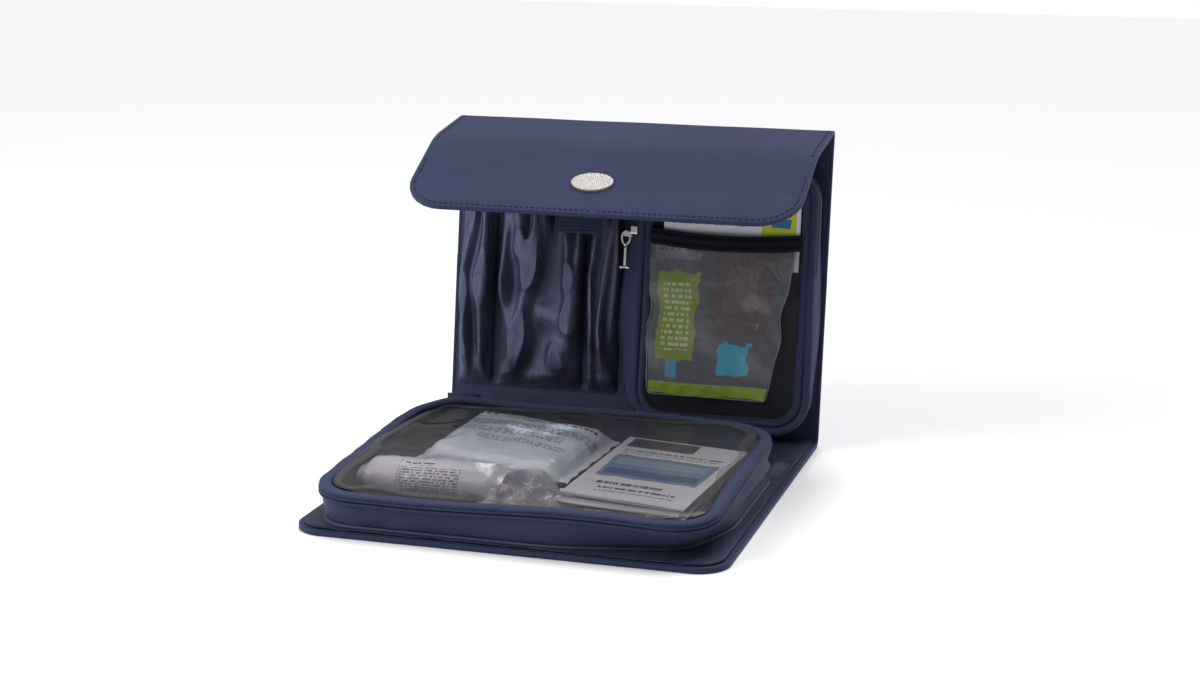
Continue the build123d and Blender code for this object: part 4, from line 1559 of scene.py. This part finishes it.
@dataclass
class Dressings:
    """The wrapped roll, the dressing pack, the leaflet and the clear bag."""

    def roll(self) -> None:
        """Make the bandage roll in its wrapper, pinched at both ends."""
        low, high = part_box("bandage_roll")
        centre, radius, length = (low + high) / 2, (high.z - low.z) / 2, high.x - low.x

        def place(u: float, v: float) -> Vector:
            """Place one point of this piece."""
            turn = math.tau * v - math.pi / 2
            x = (u - 0.5) * length * 1.16
            ends = ramp(abs(u - 0.5), 0.40, 0.5)
            wobble = 0.0009 * crumple(x, turn * 0.011, 3, 0.02)
            wobble += 0.0005 * creases(x * 0.6, turn * 0.011, 6, 0.006)
            tall = radius * (1.08 - 0.5 * ends) + wobble - 0.0006
            wide = radius * (1.5 - 0.3 * ends) + wobble
            skew = 0.004 * (u - 0.5)
            return centre + Vector((x, wide * math.cos(turn) + skew + 0.003, tall * math.sin(turn) + 0.0006))

        roll = cloth_grid("bandage_roll_wrap", 70, 48, place, (1, 1))
        activate(roll)
        bpy.ops.object.mode_set(mode="EDIT")
        bpy.ops.mesh.select_all(action="SELECT")
        bpy.ops.mesh.remove_doubles(threshold=1e-6)
        bpy.ops.mesh.select_all(action="DESELECT")
        bpy.ops.mesh.select_non_manifold()
        bpy.ops.mesh.edge_face_add()
        bpy.ops.mesh.select_all(action="SELECT")
        bpy.ops.mesh.normals_make_consistent(inside=False)
        bpy.ops.object.mode_set(mode="OBJECT")
        smooth(roll, 50)
        fit(roll, Finish.ROLL, "base", ("bandage_roll",))

    def pillow(
        self, name: str, node: str, face: Slant, size: Vector, crimp: float
    ) -> bpy.types.Object:
        """Make a sealed pillow pack: two crowned faces that meet in flat crimped ends.

        Args:
            name: The piece's name.
            node: The CAD node that it stands for.
            face: The plane through its middle.
            size: Its width, length and thickness.
            crimp: Length of the flat seal at each end.

        Returns:
            The pack.
        """

        def place(u: float, v: float) -> Vector:
            """Place one point of this piece."""
            top = v < 0.5
            along = v * 2 if top else 2 - v * 2
            x, y = (u - 0.5) * size.x, (along - 0.5) * size.y
            end = ramp(size.x / 2 - abs(x), crimp * 0.7, crimp * 2.6)
            side = ramp(0.5 - abs(along - 0.5), 0.0, 0.13) ** 0.5
            ruck = 0.0012 * crumple(x, y, 5 if top else 8, 0.02) + 0.0009 * creases(x, y, 2, 0.03)
            crown = size.z / 2 * (0.15 + 0.8 * end * side) + ruck * end * side
            return face.at(x, y, crown if top else -crown)

        pack = cloth_grid(name, 80, 120, place, (1, 2))
        outward(pack)
        swell(pack, 0.0018, 2.5, 0.0022)
        for vertex in pack.data.vertices:
            away = vertex.co - face.origin
            seal = 1 - ramp(size.x / 2 - abs(away.dot(face.right)), crimp * 0.8, crimp * 1.6)
            vertex.co -= face.out * away.dot(face.out) * 0.75 * seal
        lay_print(pack, face, size.x, size.y)
        smooth(pack, 50)
        return fit(pack, Finish.PACK, "base", (node,))

    def pack(self) -> None:
        """Make the pale blue dressing pack, leaning on the bandage roll."""
        face = lying_face("dressing_pack", -13, 8)
        pack = self.pillow("dressing_pack_wrap", "dressing_pack", face, Vector((0.112, 0.070, 0.0195)), 0.006)

    def leaflet(self) -> None:
        """Make the folded leaflet: four leaves and two soft folds at its front edge."""
        face = lying_face("leaflet", -10, 6)
        width, length = 0.080, 0.096
        leaves = ((0.0026, 0.0), (0.0009, 0.003), (-0.0009, 0.006), (-0.0026, 0.001))
        for k, (lift, back) in enumerate(leaves):

            def place(u: float, v: float, lift: float = lift, back: float = back) -> Vector:
                """Place one point of this piece."""
                x, y = (u - 0.5) * width, (v - 0.5) * (length - back) + back / 2
                near = ramp(v, 0.0, 0.16)
                curl = lift * (0.25 + 0.75 * near) + 0.0022 * (1 - near) * math.copysign(1, lift)
                bow = 0.0022 * bump(v, 0.0, 0.2) * math.sin(u * math.pi) - 0.0005 * math.cos(u * 3 + k)
                return face.at(x, y, curl + bow * 0.4 - 0.0008 * (1 - near))

            leaf = cloth_grid(f"leaflet_leaf_{k + 1}", 30, 40, place, (1, 1))
            thicken(leaf, 0.00028)
            fit(leaf, Finish.LEAFLET, "base", ("leaflet",))

        for name, lift, ahead in (
            ("leaflet_fold_upper", 0.0019, 0.0),
            ("leaflet_fold_lower", -0.0019, 0.0032),
        ):

            def fold(u: float, v: float, lift: float = lift, ahead: float = ahead) -> Vector:
                """Place one point of the rolled fold."""
                angle = math.pi * (v + 0.5)
                reach = 0.0018 + 0.0004 * math.sin(u * 4) + ahead * (1 - 0.5 * u)
                x, y = (u - 0.5) * width - ahead, -length / 2 + 0.0022 + reach * math.cos(angle)
                return face.at(x, y, lift * (1.25 - 0.4 * u) + 0.0016 * math.sin(angle))

            roll = cloth_grid(name, 30, 12, fold, (1, 0.05))
            thicken(roll, 0.00028)
            fit(roll, Finish.LEAFLET, "base")

    def bag(self) -> None:
        """Make the crumpled clear bag between the roll and the leaflet."""
        low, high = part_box("film_bag")

        def place(u: float, v: float) -> Vector:
            """Place one point of this piece."""
            top = v < 0.5
            along = v * 2 if top else 2 - v * 2
            left, near, far = low.x - 0.016, low.y + 0.004, high.y + 0.010
            x, y = left + u * (high.x - left), near + along * (far - near)
            rim = min(u, 1 - u, along, 1 - along)
            body = ramp(rim, 0, 0.16)
            fold = max(0.0, creases(x, y, 3.0, 0.018)) + 0.6 * max(0.0, creases(x, y, 8.0, 0.008))
            free = 1 - ramp(x, 0.004, 0.022)
            height = (0.0042 + 0.0135 * free) * (0.35 + 0.5 * fold) * body
            edge = 0.002 * crumple(x, y, 2, 0.01)
            z = low.z + 0.0008 + (height if top else 0.0)
            return Vector((x + edge, y + edge * (1 if u < 0.5 else -1), z + 0.0012 * (1 - body) * fold))

        bag = cloth_grid("clear_bag", 90, 120, place, (0.116, 0.12))
        outward(bag)
        smooth(bag, 30)
        fit(bag, Finish.BAG, "base", ("film_bag",))

    def build(self) -> None:
        """Make everything in the pouch."""
        self.roll()
        self.pack()
        self.leaflet()
        self.bag()


# --------------------------------------------------------------------------- the slip pockets


@dataclass(frozen=True)
class Pleat:
    """One fold of the gathered satin: a line on the pocket's face with a width and a height."""

    x0: float
    y0: float
    x1: float
    y1: float
    width: float
    rise: float

    def at(self, x: float, y: float) -> float:
        """Return the fold's rise at a point, in shares of the pocket's face.

        Args:
            x: Distance across.
            y: Distance along.

        Returns:
            What is found there.
        """
        dx, dy = self.x1 - self.x0, self.y1 - self.y0
        t = ((x - self.x0) * dx + (y - self.y0) * dy) / (dx * dx + dy * dy)
        near = min(1.0, max(0.0, t))
        gap = math.hypot(x - self.x0 - near * dx, y - self.y0 - near * dy)
        return self.rise * math.exp(-((gap / (1.3 * self.width)) ** 2))


WIDE_PLEATS = (
    Pleat(0.20, 1.0, 0.26, 0.78, 0.055, 1.0),
    Pleat(0.26, 0.78, 0.40, 0.66, 0.060, 0.9),
    Pleat(0.42, 1.0, 0.38, 0.66, 0.050, 1.0),
    Pleat(0.52, 1.0, 0.42, 0.62, 0.050, 0.8),
    Pleat(0.40, 0.66, 0.30, 0.30, 0.080, 0.9),
    Pleat(0.30, 0.30, 0.12, 0.05, 0.120, 0.8),
    Pleat(0.74, 1.0, 0.84, 0.62, 0.050, 1.0),
    Pleat(0.84, 0.62, 0.88, 0.42, 0.055, 0.9),
    Pleat(0.92, 0.95, 0.97, 0.50, 0.050, 0.9),
    Pleat(0.55, 0.42, 0.90, 0.40, 0.060, 0.6),
    Pleat(0.95, 0.36, 0.62, 0.06, 0.110, 0.9),
    Pleat(0.08, 1.0, 0.06, 0.55, 0.060, 0.8),
    Pleat(0.06, 0.55, 0.22, 0.16, 0.070, 0.6),
    Pleat(0.70, 0.20, 0.92, 0.10, 0.060, 0.6),
)
LEFT_PLEATS = (
    Pleat(0.75, 1.0, 0.70, 0.62, 0.14, 1.0),
    Pleat(0.30, 0.92, 0.22, 0.60, 0.13, 0.7),
    Pleat(0.70, 0.62, 0.30, 0.48, 0.10, 0.6),
    Pleat(0.25, 0.48, 0.25, 0.10, 0.15, 0.8),
    Pleat(0.80, 0.50, 0.72, 0.05, 0.14, 0.9),
    Pleat(0.10, 0.25, 0.50, 0.06, 0.10, 0.6),
)
NARROW_PLEATS = (
    Pleat(0.25, 1.0, 0.15, 0.45, 0.14, 1.0),
    Pleat(0.15, 0.45, 0.10, 0.05, 0.14, 0.9),
    Pleat(0.62, 0.9, 0.52, 0.30, 0.12, 0.7),
    Pleat(0.52, 0.30, 0.80, 0.04, 0.14, 0.6),
    Pleat(0.90, 1.0, 0.88, 0.40, 0.10, 0.5),
)


@dataclass
class SlipPockets:
    """The gathered satin pockets, the strip below them and the webbing tab."""

    depth: float = 0.0118
    pockets: tuple[tuple[str, tuple[Pleat, ...], float], ...] = (
        ("pocket_left", LEFT_PLEATS, 0.24),
        ("pocket_wide", WIDE_PLEATS, 0.10),
        ("pocket_narrow", NARROW_PLEATS, 0.26),
    )

    def heights(self, node: str) -> tuple[float, float]:
        """Return where a node starts and ends up the back panel.

        Args:
            node: The CAD node.

        Returns:
            Both distances up the panel.
        """
        low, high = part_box(node)
        bottom = (low - SECOND_FOLD).z / UP_BACK.z
        top = (high - SECOND_FOLD).dot(UP_BACK)
        return bottom, top

    def pocket(self, node: str, pleats: Sequence[Pleat], round_share: float) -> None:
        """Make one gathered pocket that stands off the lining, sewn flat at its foot.

        Args:
            node: The CAD pocket that it stands for.
            pleats: Its folds.
            round_share: Share of its width over which each side turns in to the lining.
        """
        low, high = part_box(node)
        bottom, top = self.heights(node)
        bottom -= 0.001
        top -= 0.003
        left, width = low.x, high.x - low.x

        def place(u: float, v: float) -> Vector:
            """Place one point of this piece."""
            side = min(1.0, min(u, 1 - u) / round_share)
            belly = math.sqrt(max(0.0, 1 - (1 - side) ** 2))
            foot = ramp(v, 0.0, 0.10)
            full = 0.50 + 0.20 * math.sin(v * math.pi) + 0.08 * v
            folds = sum(p.at(u, v) for p in pleats)
            dent = 0.78 * (min(folds, 1.25) - 0.58)
            fine = 0.09 * crumple(u * width, v * 0.12, 4, 0.016)
            fine += 0.05 * creases(u * width, v * 0.09, 6, 0.014)
            fine += 0.10 * ramp(v, 0.72, 0.97) * math.sin(u * width * 820 + 2 * crumple(u * 5, 0, 3, 1))
            rise = belly * foot * (full + dent * ramp(v, 0.0, 0.2) + fine)
            hem = 1 - 0.12 * ramp(v, 0.955, 0.99)
            x = left + u * width + 0.0012 * math.sin(v * 7 + u * 3) * belly
            return BACK.at(x, bottom + v * (top - bottom), 0.0026 + self.depth * max(0.02, rise) * hem)

        columns = max(50, int(width / 0.0006))
        cloth = cloth_grid(node + "_satin", columns, 190, place, (width * 1.4, top - bottom))
        thicken(cloth, 0.0004)
        fit(cloth, Finish.SATIN, "back", (node,))

    def foot_stitches(self) -> None:
        """Sew the zigzag row that holds the pockets' foot to the lining."""
        stitch = thread_bead()
        left, right = corner("pocket_left", False).x, corner("pocket_narrow", True).x
        bottom = self.heights("pocket_wide")[0]
        turns = []
        count = int((right - left) / 0.0021)
        for k in range(count):
            x = left + (k + 0.5) * 0.0021
            here = BACK.at(x, bottom + 0.0016 + 0.0004 * math.sin(k * 1.9), 0.0042)
            slope = 0.5 if k % 2 else -0.5
            face = Matrix((BACK.right, BACK.up, BACK.out)).transposed().to_4x4()
            size = Matrix.Diagonal((0.0012, 0.0004, 0.0004, 1))
            turns.append(Matrix.Translation(here) @ face @ Matrix.Rotation(slope, 4, "Z") @ size)
        fit(stamp("pocket_foot_stitches", stitch, turns), Finish.SLATE, "back")

    def hems(self) -> None:
        """Make the rolled hem along each pocket's mouth."""
        joined = []
        for node, _, share in self.pockets:
            low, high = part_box(node)
            top = self.heights(node)[1] - 0.003
            width = high.x - low.x

            def place(u: float, v: float) -> Vector:
                """Place one point of this piece."""
                side = min(1.0, min(u, 1 - u) / share)
                belly = math.sqrt(max(0.0, 1 - (1 - side) ** 2))
                turn = v * math.tau
                gather = 0.0012 * math.sin(u * width * 900)
                out = 0.0026 + self.depth * 0.66 * belly + gather * belly
                return BACK.at(
                    low.x + u * width, top - 0.0015 + 0.0016 * math.sin(turn), out + 0.0010 * math.cos(turn)
                )

            hem = cloth_grid(node + "_hem", 60, 8, place, (width, 0.01))
            outward(hem)
            smooth(hem, 60)
            joined.append(hem)
        activate(joined[0])
        for hem in joined[1:]:
            hem.select_set(True)
        bpy.ops.object.join()
        joined[0].name = "pocket_hem_rolls"
        fit(joined[0], Finish.SATIN, "back", ("pocket_hems",))

    def strip(self) -> None:
        """Make the plain strip below the pockets."""
        low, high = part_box("kick_strip")
        bottom, top = self.heights("kick_strip")

        def place(u: float, v: float) -> Vector:
            """Place one point of this piece."""
            x = low.x + u * (high.x - low.x)
            y = bottom + v * (top + 0.001 - bottom)
            ruck = 0.0006 * (0.5 + crumple(x, y, 9, 0.016))
            return BACK.at(x, y, 0.0031 + ruck * math.sin(v * math.pi))

        strip = cloth_grid("plain_strip", 80, 10, place, (high.x - low.x, top - bottom))
        thicken(strip, 0.0006)
        fit(strip, Finish.SLATE, "back", ("kick_strip",))

    def tab(self) -> None:
        """Make the ribbed webbing tab, sewn at its top and hanging over the pockets."""
        low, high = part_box("webbing_tab")
        top = (high - SECOND_FOLD).dot(UP_BACK) - 0.001
        bottom = 0.1325
        front = 0.0172

        def place(u: float, v: float) -> Vector:
            """Place one point of this piece."""
            y = bottom + v * (top - bottom)
            out = front + 0.0012 - (front - 0.0036) * ramp(y, top - 0.030, top - 0.008)
            rib = 0.00055 * abs(math.sin(v * (top - bottom) / 0.0024 * math.pi))
            weave = 0.00012 * math.sin(u * 60)
            return BACK.at(low.x + u * (high.x - low.x), y, out + rib + weave)

        tab = cloth_grid("webbing_tab_strap", 60, 190, place, (high.x - low.x, top - bottom))
        thicken(tab, 0.0014)
        fit(tab, Finish.WEBBING, "back", ("webbing_tab",))

    def build(self) -> None:
        """Make the left half of the back panel."""
        for node, pleats, share in self.pockets:
            self.pocket(node, pleats, share)
        self.foot_stitches()
        self.hems()
        self.strip()
        self.tab()


# --------------------------------------------------------------------------- the upright pouch


@dataclass
class UprightPouch:
    """The zipped pouch on the back panel, with its mesh, film pocket, sachet and card."""

    radius: float = 0.024
    rim: float = 0.0100
    around: int = 200
    left: float = field(default_factory=lambda: corner("upright_gusset", False).x)
    right: float = field(default_factory=lambda: corner("upright_gusset", True).x)
    lid: Vector = field(default_factory=lambda: Vector(joint("upright_lid_lift")["pos_m"]))

    def __post_init__(self) -> None:
        """Set the pouch's plane and its outline."""
        away = self.lid - SECOND_FOLD
        self.bottom = away.dot(UP_BACK)
        self.depth = away.dot(OUT_BACK)
        self.width = self.right - self.left
        self.middle = (self.left + self.right) / 2
        frame_top = corner("upright_lid_frame", True)
        self.height = self.up(frame_top) - 0.001

    def up(self, spot: Vector) -> float:
        """Return how far up the pouch a point's height lies."""
        return (spot - SECOND_FOLD).z / UP_BACK.z - self.bottom

    def at(self, flat: Vector, out: float) -> Vector:
        """Return a point of the pouch's face from its flat place and its distance off the lid plane."""
        return BACK.at(self.middle + flat.x, self.bottom + flat.y, self.depth + out)

    def wall(self) -> None:
        """Make the side wall: its left side splays out over the lining, its right side stands."""

        def place(u: float, v: float) -> Vector:
            """Place one point of this piece."""
            flat, outwards = rounded_track(self.width, self.height, self.radius, u)
            mid = bump(flat.y, self.height * 0.42, 0.05)
            splay = (0.008 + 0.013 * mid) * ramp(-outwards.x, 0.3, 1.0) * (1 - v) ** 1.1
            splay += 0.004 * mid * ramp(outwards.x, 0.3, 1.0) * (1 - v)
            swell = 0.0016 * math.sin(v * math.pi) * (0.5 + crumple(u * 30, v, 3, 3))
            foot = 0.0015 * (1 - v)
            spot = flat + outwards * (splay + swell - foot - 0.0008)
            return self.at(spot, -self.depth + 0.0030 + (self.depth - 0.0030) * v)

        wall = cloth_grid("upright_wall", self.around, 14, place, (0.56, 0.02))
        outward(wall)
        thicken(wall, 0.0012, -1.0)
        fit(wall, Finish.WALL, "back", ("upright_gusset",))
        round_trip = way_round(self.width, self.height, self.radius)

    def ridges(self) -> None:
        """Make the rim as two padded ridges side by side."""
        for name, inset, size, lift, nodes in (
            ("upright_rim_outer", 0.0022, 0.0029, 0.0018, ("upright_lid_frame",)),
            ("upright_rim_inner", 0.0072, 0.0028, 0.0024, ()),
        ):

            def place(u: float, v: float) -> Vector:
                """Place one point of this piece."""
                flat, outwards = rounded_track(self.width, self.height, self.radius, u)
                turn = v * math.tau
                wave = 0.0005 * math.sin(u * math.tau * 3 + inset * 900)
                spot = flat - outwards * (inset - size * math.cos(turn) + wave)
                return self.at(spot, lift + size * 0.9 * math.sin(turn) + wave)

            ridge = ring_tube(name, self.around, 16, place, (0.56, 0.02))
            fit(ridge, Finish.RIM, "upright_lid", nodes)

    def inside(self) -> tuple[float, float, float, float]:
        """Return the clear opening's left, right, bottom and top inside the rim."""
        inset = self.rim - 0.001
        return (-self.width / 2 + inset, self.width / 2 - inset, inset, self.height - inset)

    def panel(
        self, name: str, out: float, top: float, finish: Finish, slot: str, nodes: Sequence[str],
        slack: float,
    ) -> None:
        """Make a sheet that fills the rim up to a height.

        Args:
            name: The piece's name.
            out: Distance off the lid plane.
            top: Height that it reaches.
            finish: Its finish.
            slot: Not used.
            nodes: The CAD nodes that it replaces.
            slack: How far it ripples.
        """
        left, right, low, high = self.inside()

        def place(u: float, v: float) -> Vector:
            """Place one point of this piece."""
            x, y = left + u * (right - left), low + v * (top - low)
            cut = self.radius - self.rim
            for edge, sign in ((low + cut, -1), (high - cut, 1)):
                gone = (y - edge) * sign
                if gone > 0:
                    x *= 1 - (cut - math.sqrt(max(0.0, cut**2 - min(gone, cut) ** 2))) / right
            wave = slack * crumple(x, y, out * 900, 0.03) + slack * 0.4 * creases(x, y, 7, 0.02)
            return self.at(Vector((x, y, 0)), out + wave * math.sin(u * math.pi) * math.sin(v * math.pi))

        sheet = cloth_grid(name, 70, 90, place, (right - left, top - low))
        thicken(sheet, 0.00035)
        fit(sheet, finish, "upright_lid", nodes)

    def band(self) -> None:
        """Make the black elastic along the film pocket's mouth, gently bowed and ribbed."""
        left, right, _, _ = self.inside()
        low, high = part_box("elastic_band")
        top = self.up(high)
        depth = 0.0102

        def place(u: float, v: float) -> Vector:
            """Place one point of this piece."""
            x = left + 0.0005 + u * (right - left - 0.001)
            y = top - depth + v * depth + 0.003 * (2 * u - 1) ** 2 - 0.0055
            rib = 0.0006 * math.sin(v * math.pi * 4)
            bow = 0.0022 * math.sin(u * math.pi) + 0.0004 * math.sin(u * 40)
            return self.at(Vector((x, y, 0)), 0.0056 + bow + rib)

        band = cloth_grid("elastic_band_strap", 100, 32, place, (right - left, depth))
        thicken(band, 0.0009)
        fit(band, Finish.ELASTIC, "upright_lid", ("elastic_band",))

    def flat_thing(
        self, node: str, name: str, finish: Finish, out: float, wave: float, pinch: float,
        taper: float = 0.0, foot: float = 0.0,
    ) -> None:
        """Make a thin sealed pack that stands in the film pocket.

        Args:
            node: The CAD node that it stands for.
            name: The piece's name.
            finish: Its finish.
            out: Distance of its face off the lid plane.
            wave: How far its face ripples.
            pinch: How far its sides wander in and out.
            taper: How much narrower its foot is, taken off the right side.
            foot: Lowest height up the pouch that it reaches.
        """
        low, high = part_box(node)
        bottom = max(foot, self.up(low))
        top = self.up(high)

        def place(u: float, v: float) -> Vector:
            """Place one point of this piece."""
            y = bottom + v * (top - bottom)
            side = 2 * u - 1
            wander = pinch * (math.sin(v * 13 + 0.6) + 0.6 * math.sin(v * 23 + 2))
            x = low.x - self.middle + u * (high.x - low.x - taper * (1 - v)) - side * abs(side) ** 3 * wander
            wavy = wave * (crumple(x, y, 2, 0.022) + 0.5 * creases(x, y, 5, 0.03) - 0.2)
            end = 0.0004 * math.sin(u * 34) * (bump(v, 0, 0.05) + bump(v, 1, 0.05))
            lift = pinch * 0.3 * (math.sin(u * 9 + 1) * bump(v, 0, 0.08))
            return self.at(Vector((x, y + lift, 0)), out + wavy + end)

        sheet = cloth_grid(name, 90, 100, place, (1, 1))
        thicken(sheet, 0.0006)
        fit(sheet, finish, "upright_lid", (node,))

    def seal(self) -> None:
        """Make the clear sealed border round the sachet."""
        low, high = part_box("sachet")
        bottom = self.up(low)
        top = self.up(high)
        width, height = high.x - low.x + 0.0012, top - bottom + 0.0012

        def place(u: float, v: float) -> Vector:
            """Place one point of this piece."""
            flat, outwards = rounded_track(width, height, 0.003, u)
            turn = v * math.tau
            waves = math.sin(flat.y * 120 + 0.6) + 0.6 * math.sin(flat.y * 215 + 2)
            wander = 0.0013 * waves * abs(outwards.x)
            spot = flat - outwards * (wander - 0.0004 * math.cos(turn))
            x = spot.x + (low.x + high.x) / 2 - self.middle
            x -= 0.014 * (spot.x / width + 0.5) * (1 - spot.y / height)
            return self.at(Vector((x, bottom - 0.0006 + spot.y, 0)), 0.0046 + 0.0003 * math.sin(turn))

        border = ring_tube("sachet_seal", 260, 6, place, (0.4, 0.004))
        fit(border, Finish.BAG, "upright_lid")

    def teeth(self) -> None:
        """Make both rows of zip teeth over the top of the pouch."""
        total = way_round(self.width, self.height, self.radius)
        face = Matrix((BACK.right, BACK.up, BACK.out)).transposed().to_4x4()
        for name, out, body, node in (
            ("upright_teeth_lower", -0.0014, "back", "upright_zip_lower"),
            ("upright_teeth_upper", 0.0002, "upright_lid", "upright_zip_upper"),
        ):

            def spot(u: float, out: float = out) -> tuple[Vector, Vector]:
                """Return a tooth's place and its outward direction."""
                flat, outwards = rounded_track(self.width, self.height, self.radius, u)
                return self.at(flat + outwards * 0.0008, out), outwards

            ZipRow(name, body, node, 0.28, 0.44, 0.0014).build(total, face, spot)

    def build(self) -> None:
        """Make the right half of the back panel."""
        self.wall()
        self.ridges()
        high = self.inside()[3]
        self.panel("black_mesh", 0.0006, high, Finish.MESH, "mesh", ("upright_mesh",), 0.0002)
        self.flat_thing("card_pack", "card_pack_face", Finish.CARD, 0.0020, 0.0004, 0.0, foot=0.108)
        self.flat_thing("sachet", "sachet_face", Finish.SACHET, 0.0040, 0.0011, 0.0013, 0.014)
        self.seal()
        top = self.up(corner("film_pocket", True))
        self.panel("clear_sleeve", 0.0060, top, Finish.SLEEVE, "clear_film", ("film_pocket",), 0.0005)
        self.band()
        self.teeth()
        for node in ("upright_slider", "pull_ring", "pull_bar"):
            paint(frame["nodes"][node], Finish.NICKEL)


# --------------------------------------------------------------------------- the studio


@dataclass
class Studio:
    """The pale floor, the soft lights and the camera."""

    lens: float = 64.452
    eye: tuple[float, float, float] = (0.38064, -1.24502, 0.39176)
    yaw: float = 16.416
    pitch: float = 12.952
    roll: float = 0.3065
    ambient: float = 0.30
    overhead: float = 2.55
    overhead_spread: float = 40.0
    overhead_tilt: tuple[float, float] = (-24.0, 7.0)
    side_power: float = 11.0

    def lamp(self) -> None:
        """Hang the wide soft overhead light."""
        data = bpy.data.lights.new("overhead_light", "SUN")
        data.energy, data.angle = self.overhead, math.radians(self.overhead_spread)
        lamp = bpy.data.objects.new("overhead_light", data)
        lamp.rotation_euler = (math.radians(self.overhead_tilt[0]), math.radians(self.overhead_tilt[1]), 0)
        bpy.context.scene.collection.objects.link(lamp)

    def floor(self) -> None:
        """Make the pale floor."""
        clear_selection()
        bpy.ops.mesh.primitive_plane_add(size=8, location=(0, 0, -0.0002))
        floor = bpy.context.object
        floor.name = "studio_floor"
        blank = Blank("Pale floor")
        blank.shader.inputs["Base Color"].default_value = (0.9, 0.9, 0.92, 1)
        blank.shader.inputs["Roughness"].default_value = 0.9
        floor.data.materials.append(blank.material)
        apply_place(floor)

    def light(self, name: str, spot: tuple[float, float, float], size: float, power: float) -> None:
        """Args:
            name: The piece's name.
            spot: A point or place.
            size: Length and girth, which scale its weave.
            power: Its power in watts.
        """
        data = bpy.data.lights.new(name, "AREA")
        data.size, data.energy = size, power
        lamp = bpy.data.objects.new(name, data)
        lamp.location = spot
        lamp.rotation_euler = (Vector((0, 0, 0.08)) - Vector(spot)).to_track_quat("-Z", "Y").to_euler()
        bpy.context.scene.collection.objects.link(lamp)

    def camera(self) -> None:
        """Set up the camera."""
        data = bpy.data.cameras.new("view")
        data.lens, data.sensor_width = self.lens, 36.0
        data.clip_start, data.clip_end = 0.05, 30
        camera = bpy.data.objects.new("view", data)
        camera.location = self.eye
        turn, tip = math.radians(self.yaw), math.radians(self.pitch)
        ahead = Vector((-math.sin(turn) * math.cos(tip), math.cos(turn) * math.cos(tip), -math.sin(tip)))
        right = Vector((math.cos(turn), math.sin(turn), 0))
        up = right.cross(ahead)
        level = Matrix((right, up, -ahead)).transposed()
        camera.rotation_euler = (level @ Matrix.Rotation(math.radians(self.roll), 3, "Z")).to_euler()
        bpy.context.scene.collection.objects.link(camera)
        bpy.context.scene.camera = camera

    def build(self) -> None:
        """Set up the whole studio."""
        self.floor()
        world = bpy.data.worlds.new("studio")
        world.use_nodes = True
        sky = world.node_tree.nodes["Background"]
        sky.inputs["Color"].default_value = (1, 1, 1, 1)
        seen = add_node(world.node_tree, "LightPath", {})
        level = add_node(
            world.node_tree,
            "MapRange",
            {"Value": seen.outputs["Is Camera Ray"], "To Min": self.ambient, "To Max": 1.0},
        )
        world.node_tree.links.new(level.outputs[0], sky.inputs["Strength"])
        bpy.context.scene.world = world
        self.lamp()
        self.light("side_light", (-0.85, -0.6, 0.75), 0.8, self.side_power)
        bpy.context.scene.view_settings.view_transform = "Standard"
        self.camera()


def main() -> None:
    logging.basicConfig(level=logging.INFO, format="%(message)s")
    for part in (Case(), BasePouch(), Dressings(), SlipPockets(), UprightPouch(), Studio()):
        part.build()
        log.info("built %s", type(part).__name__)


if __name__ == "__main__":
    main()
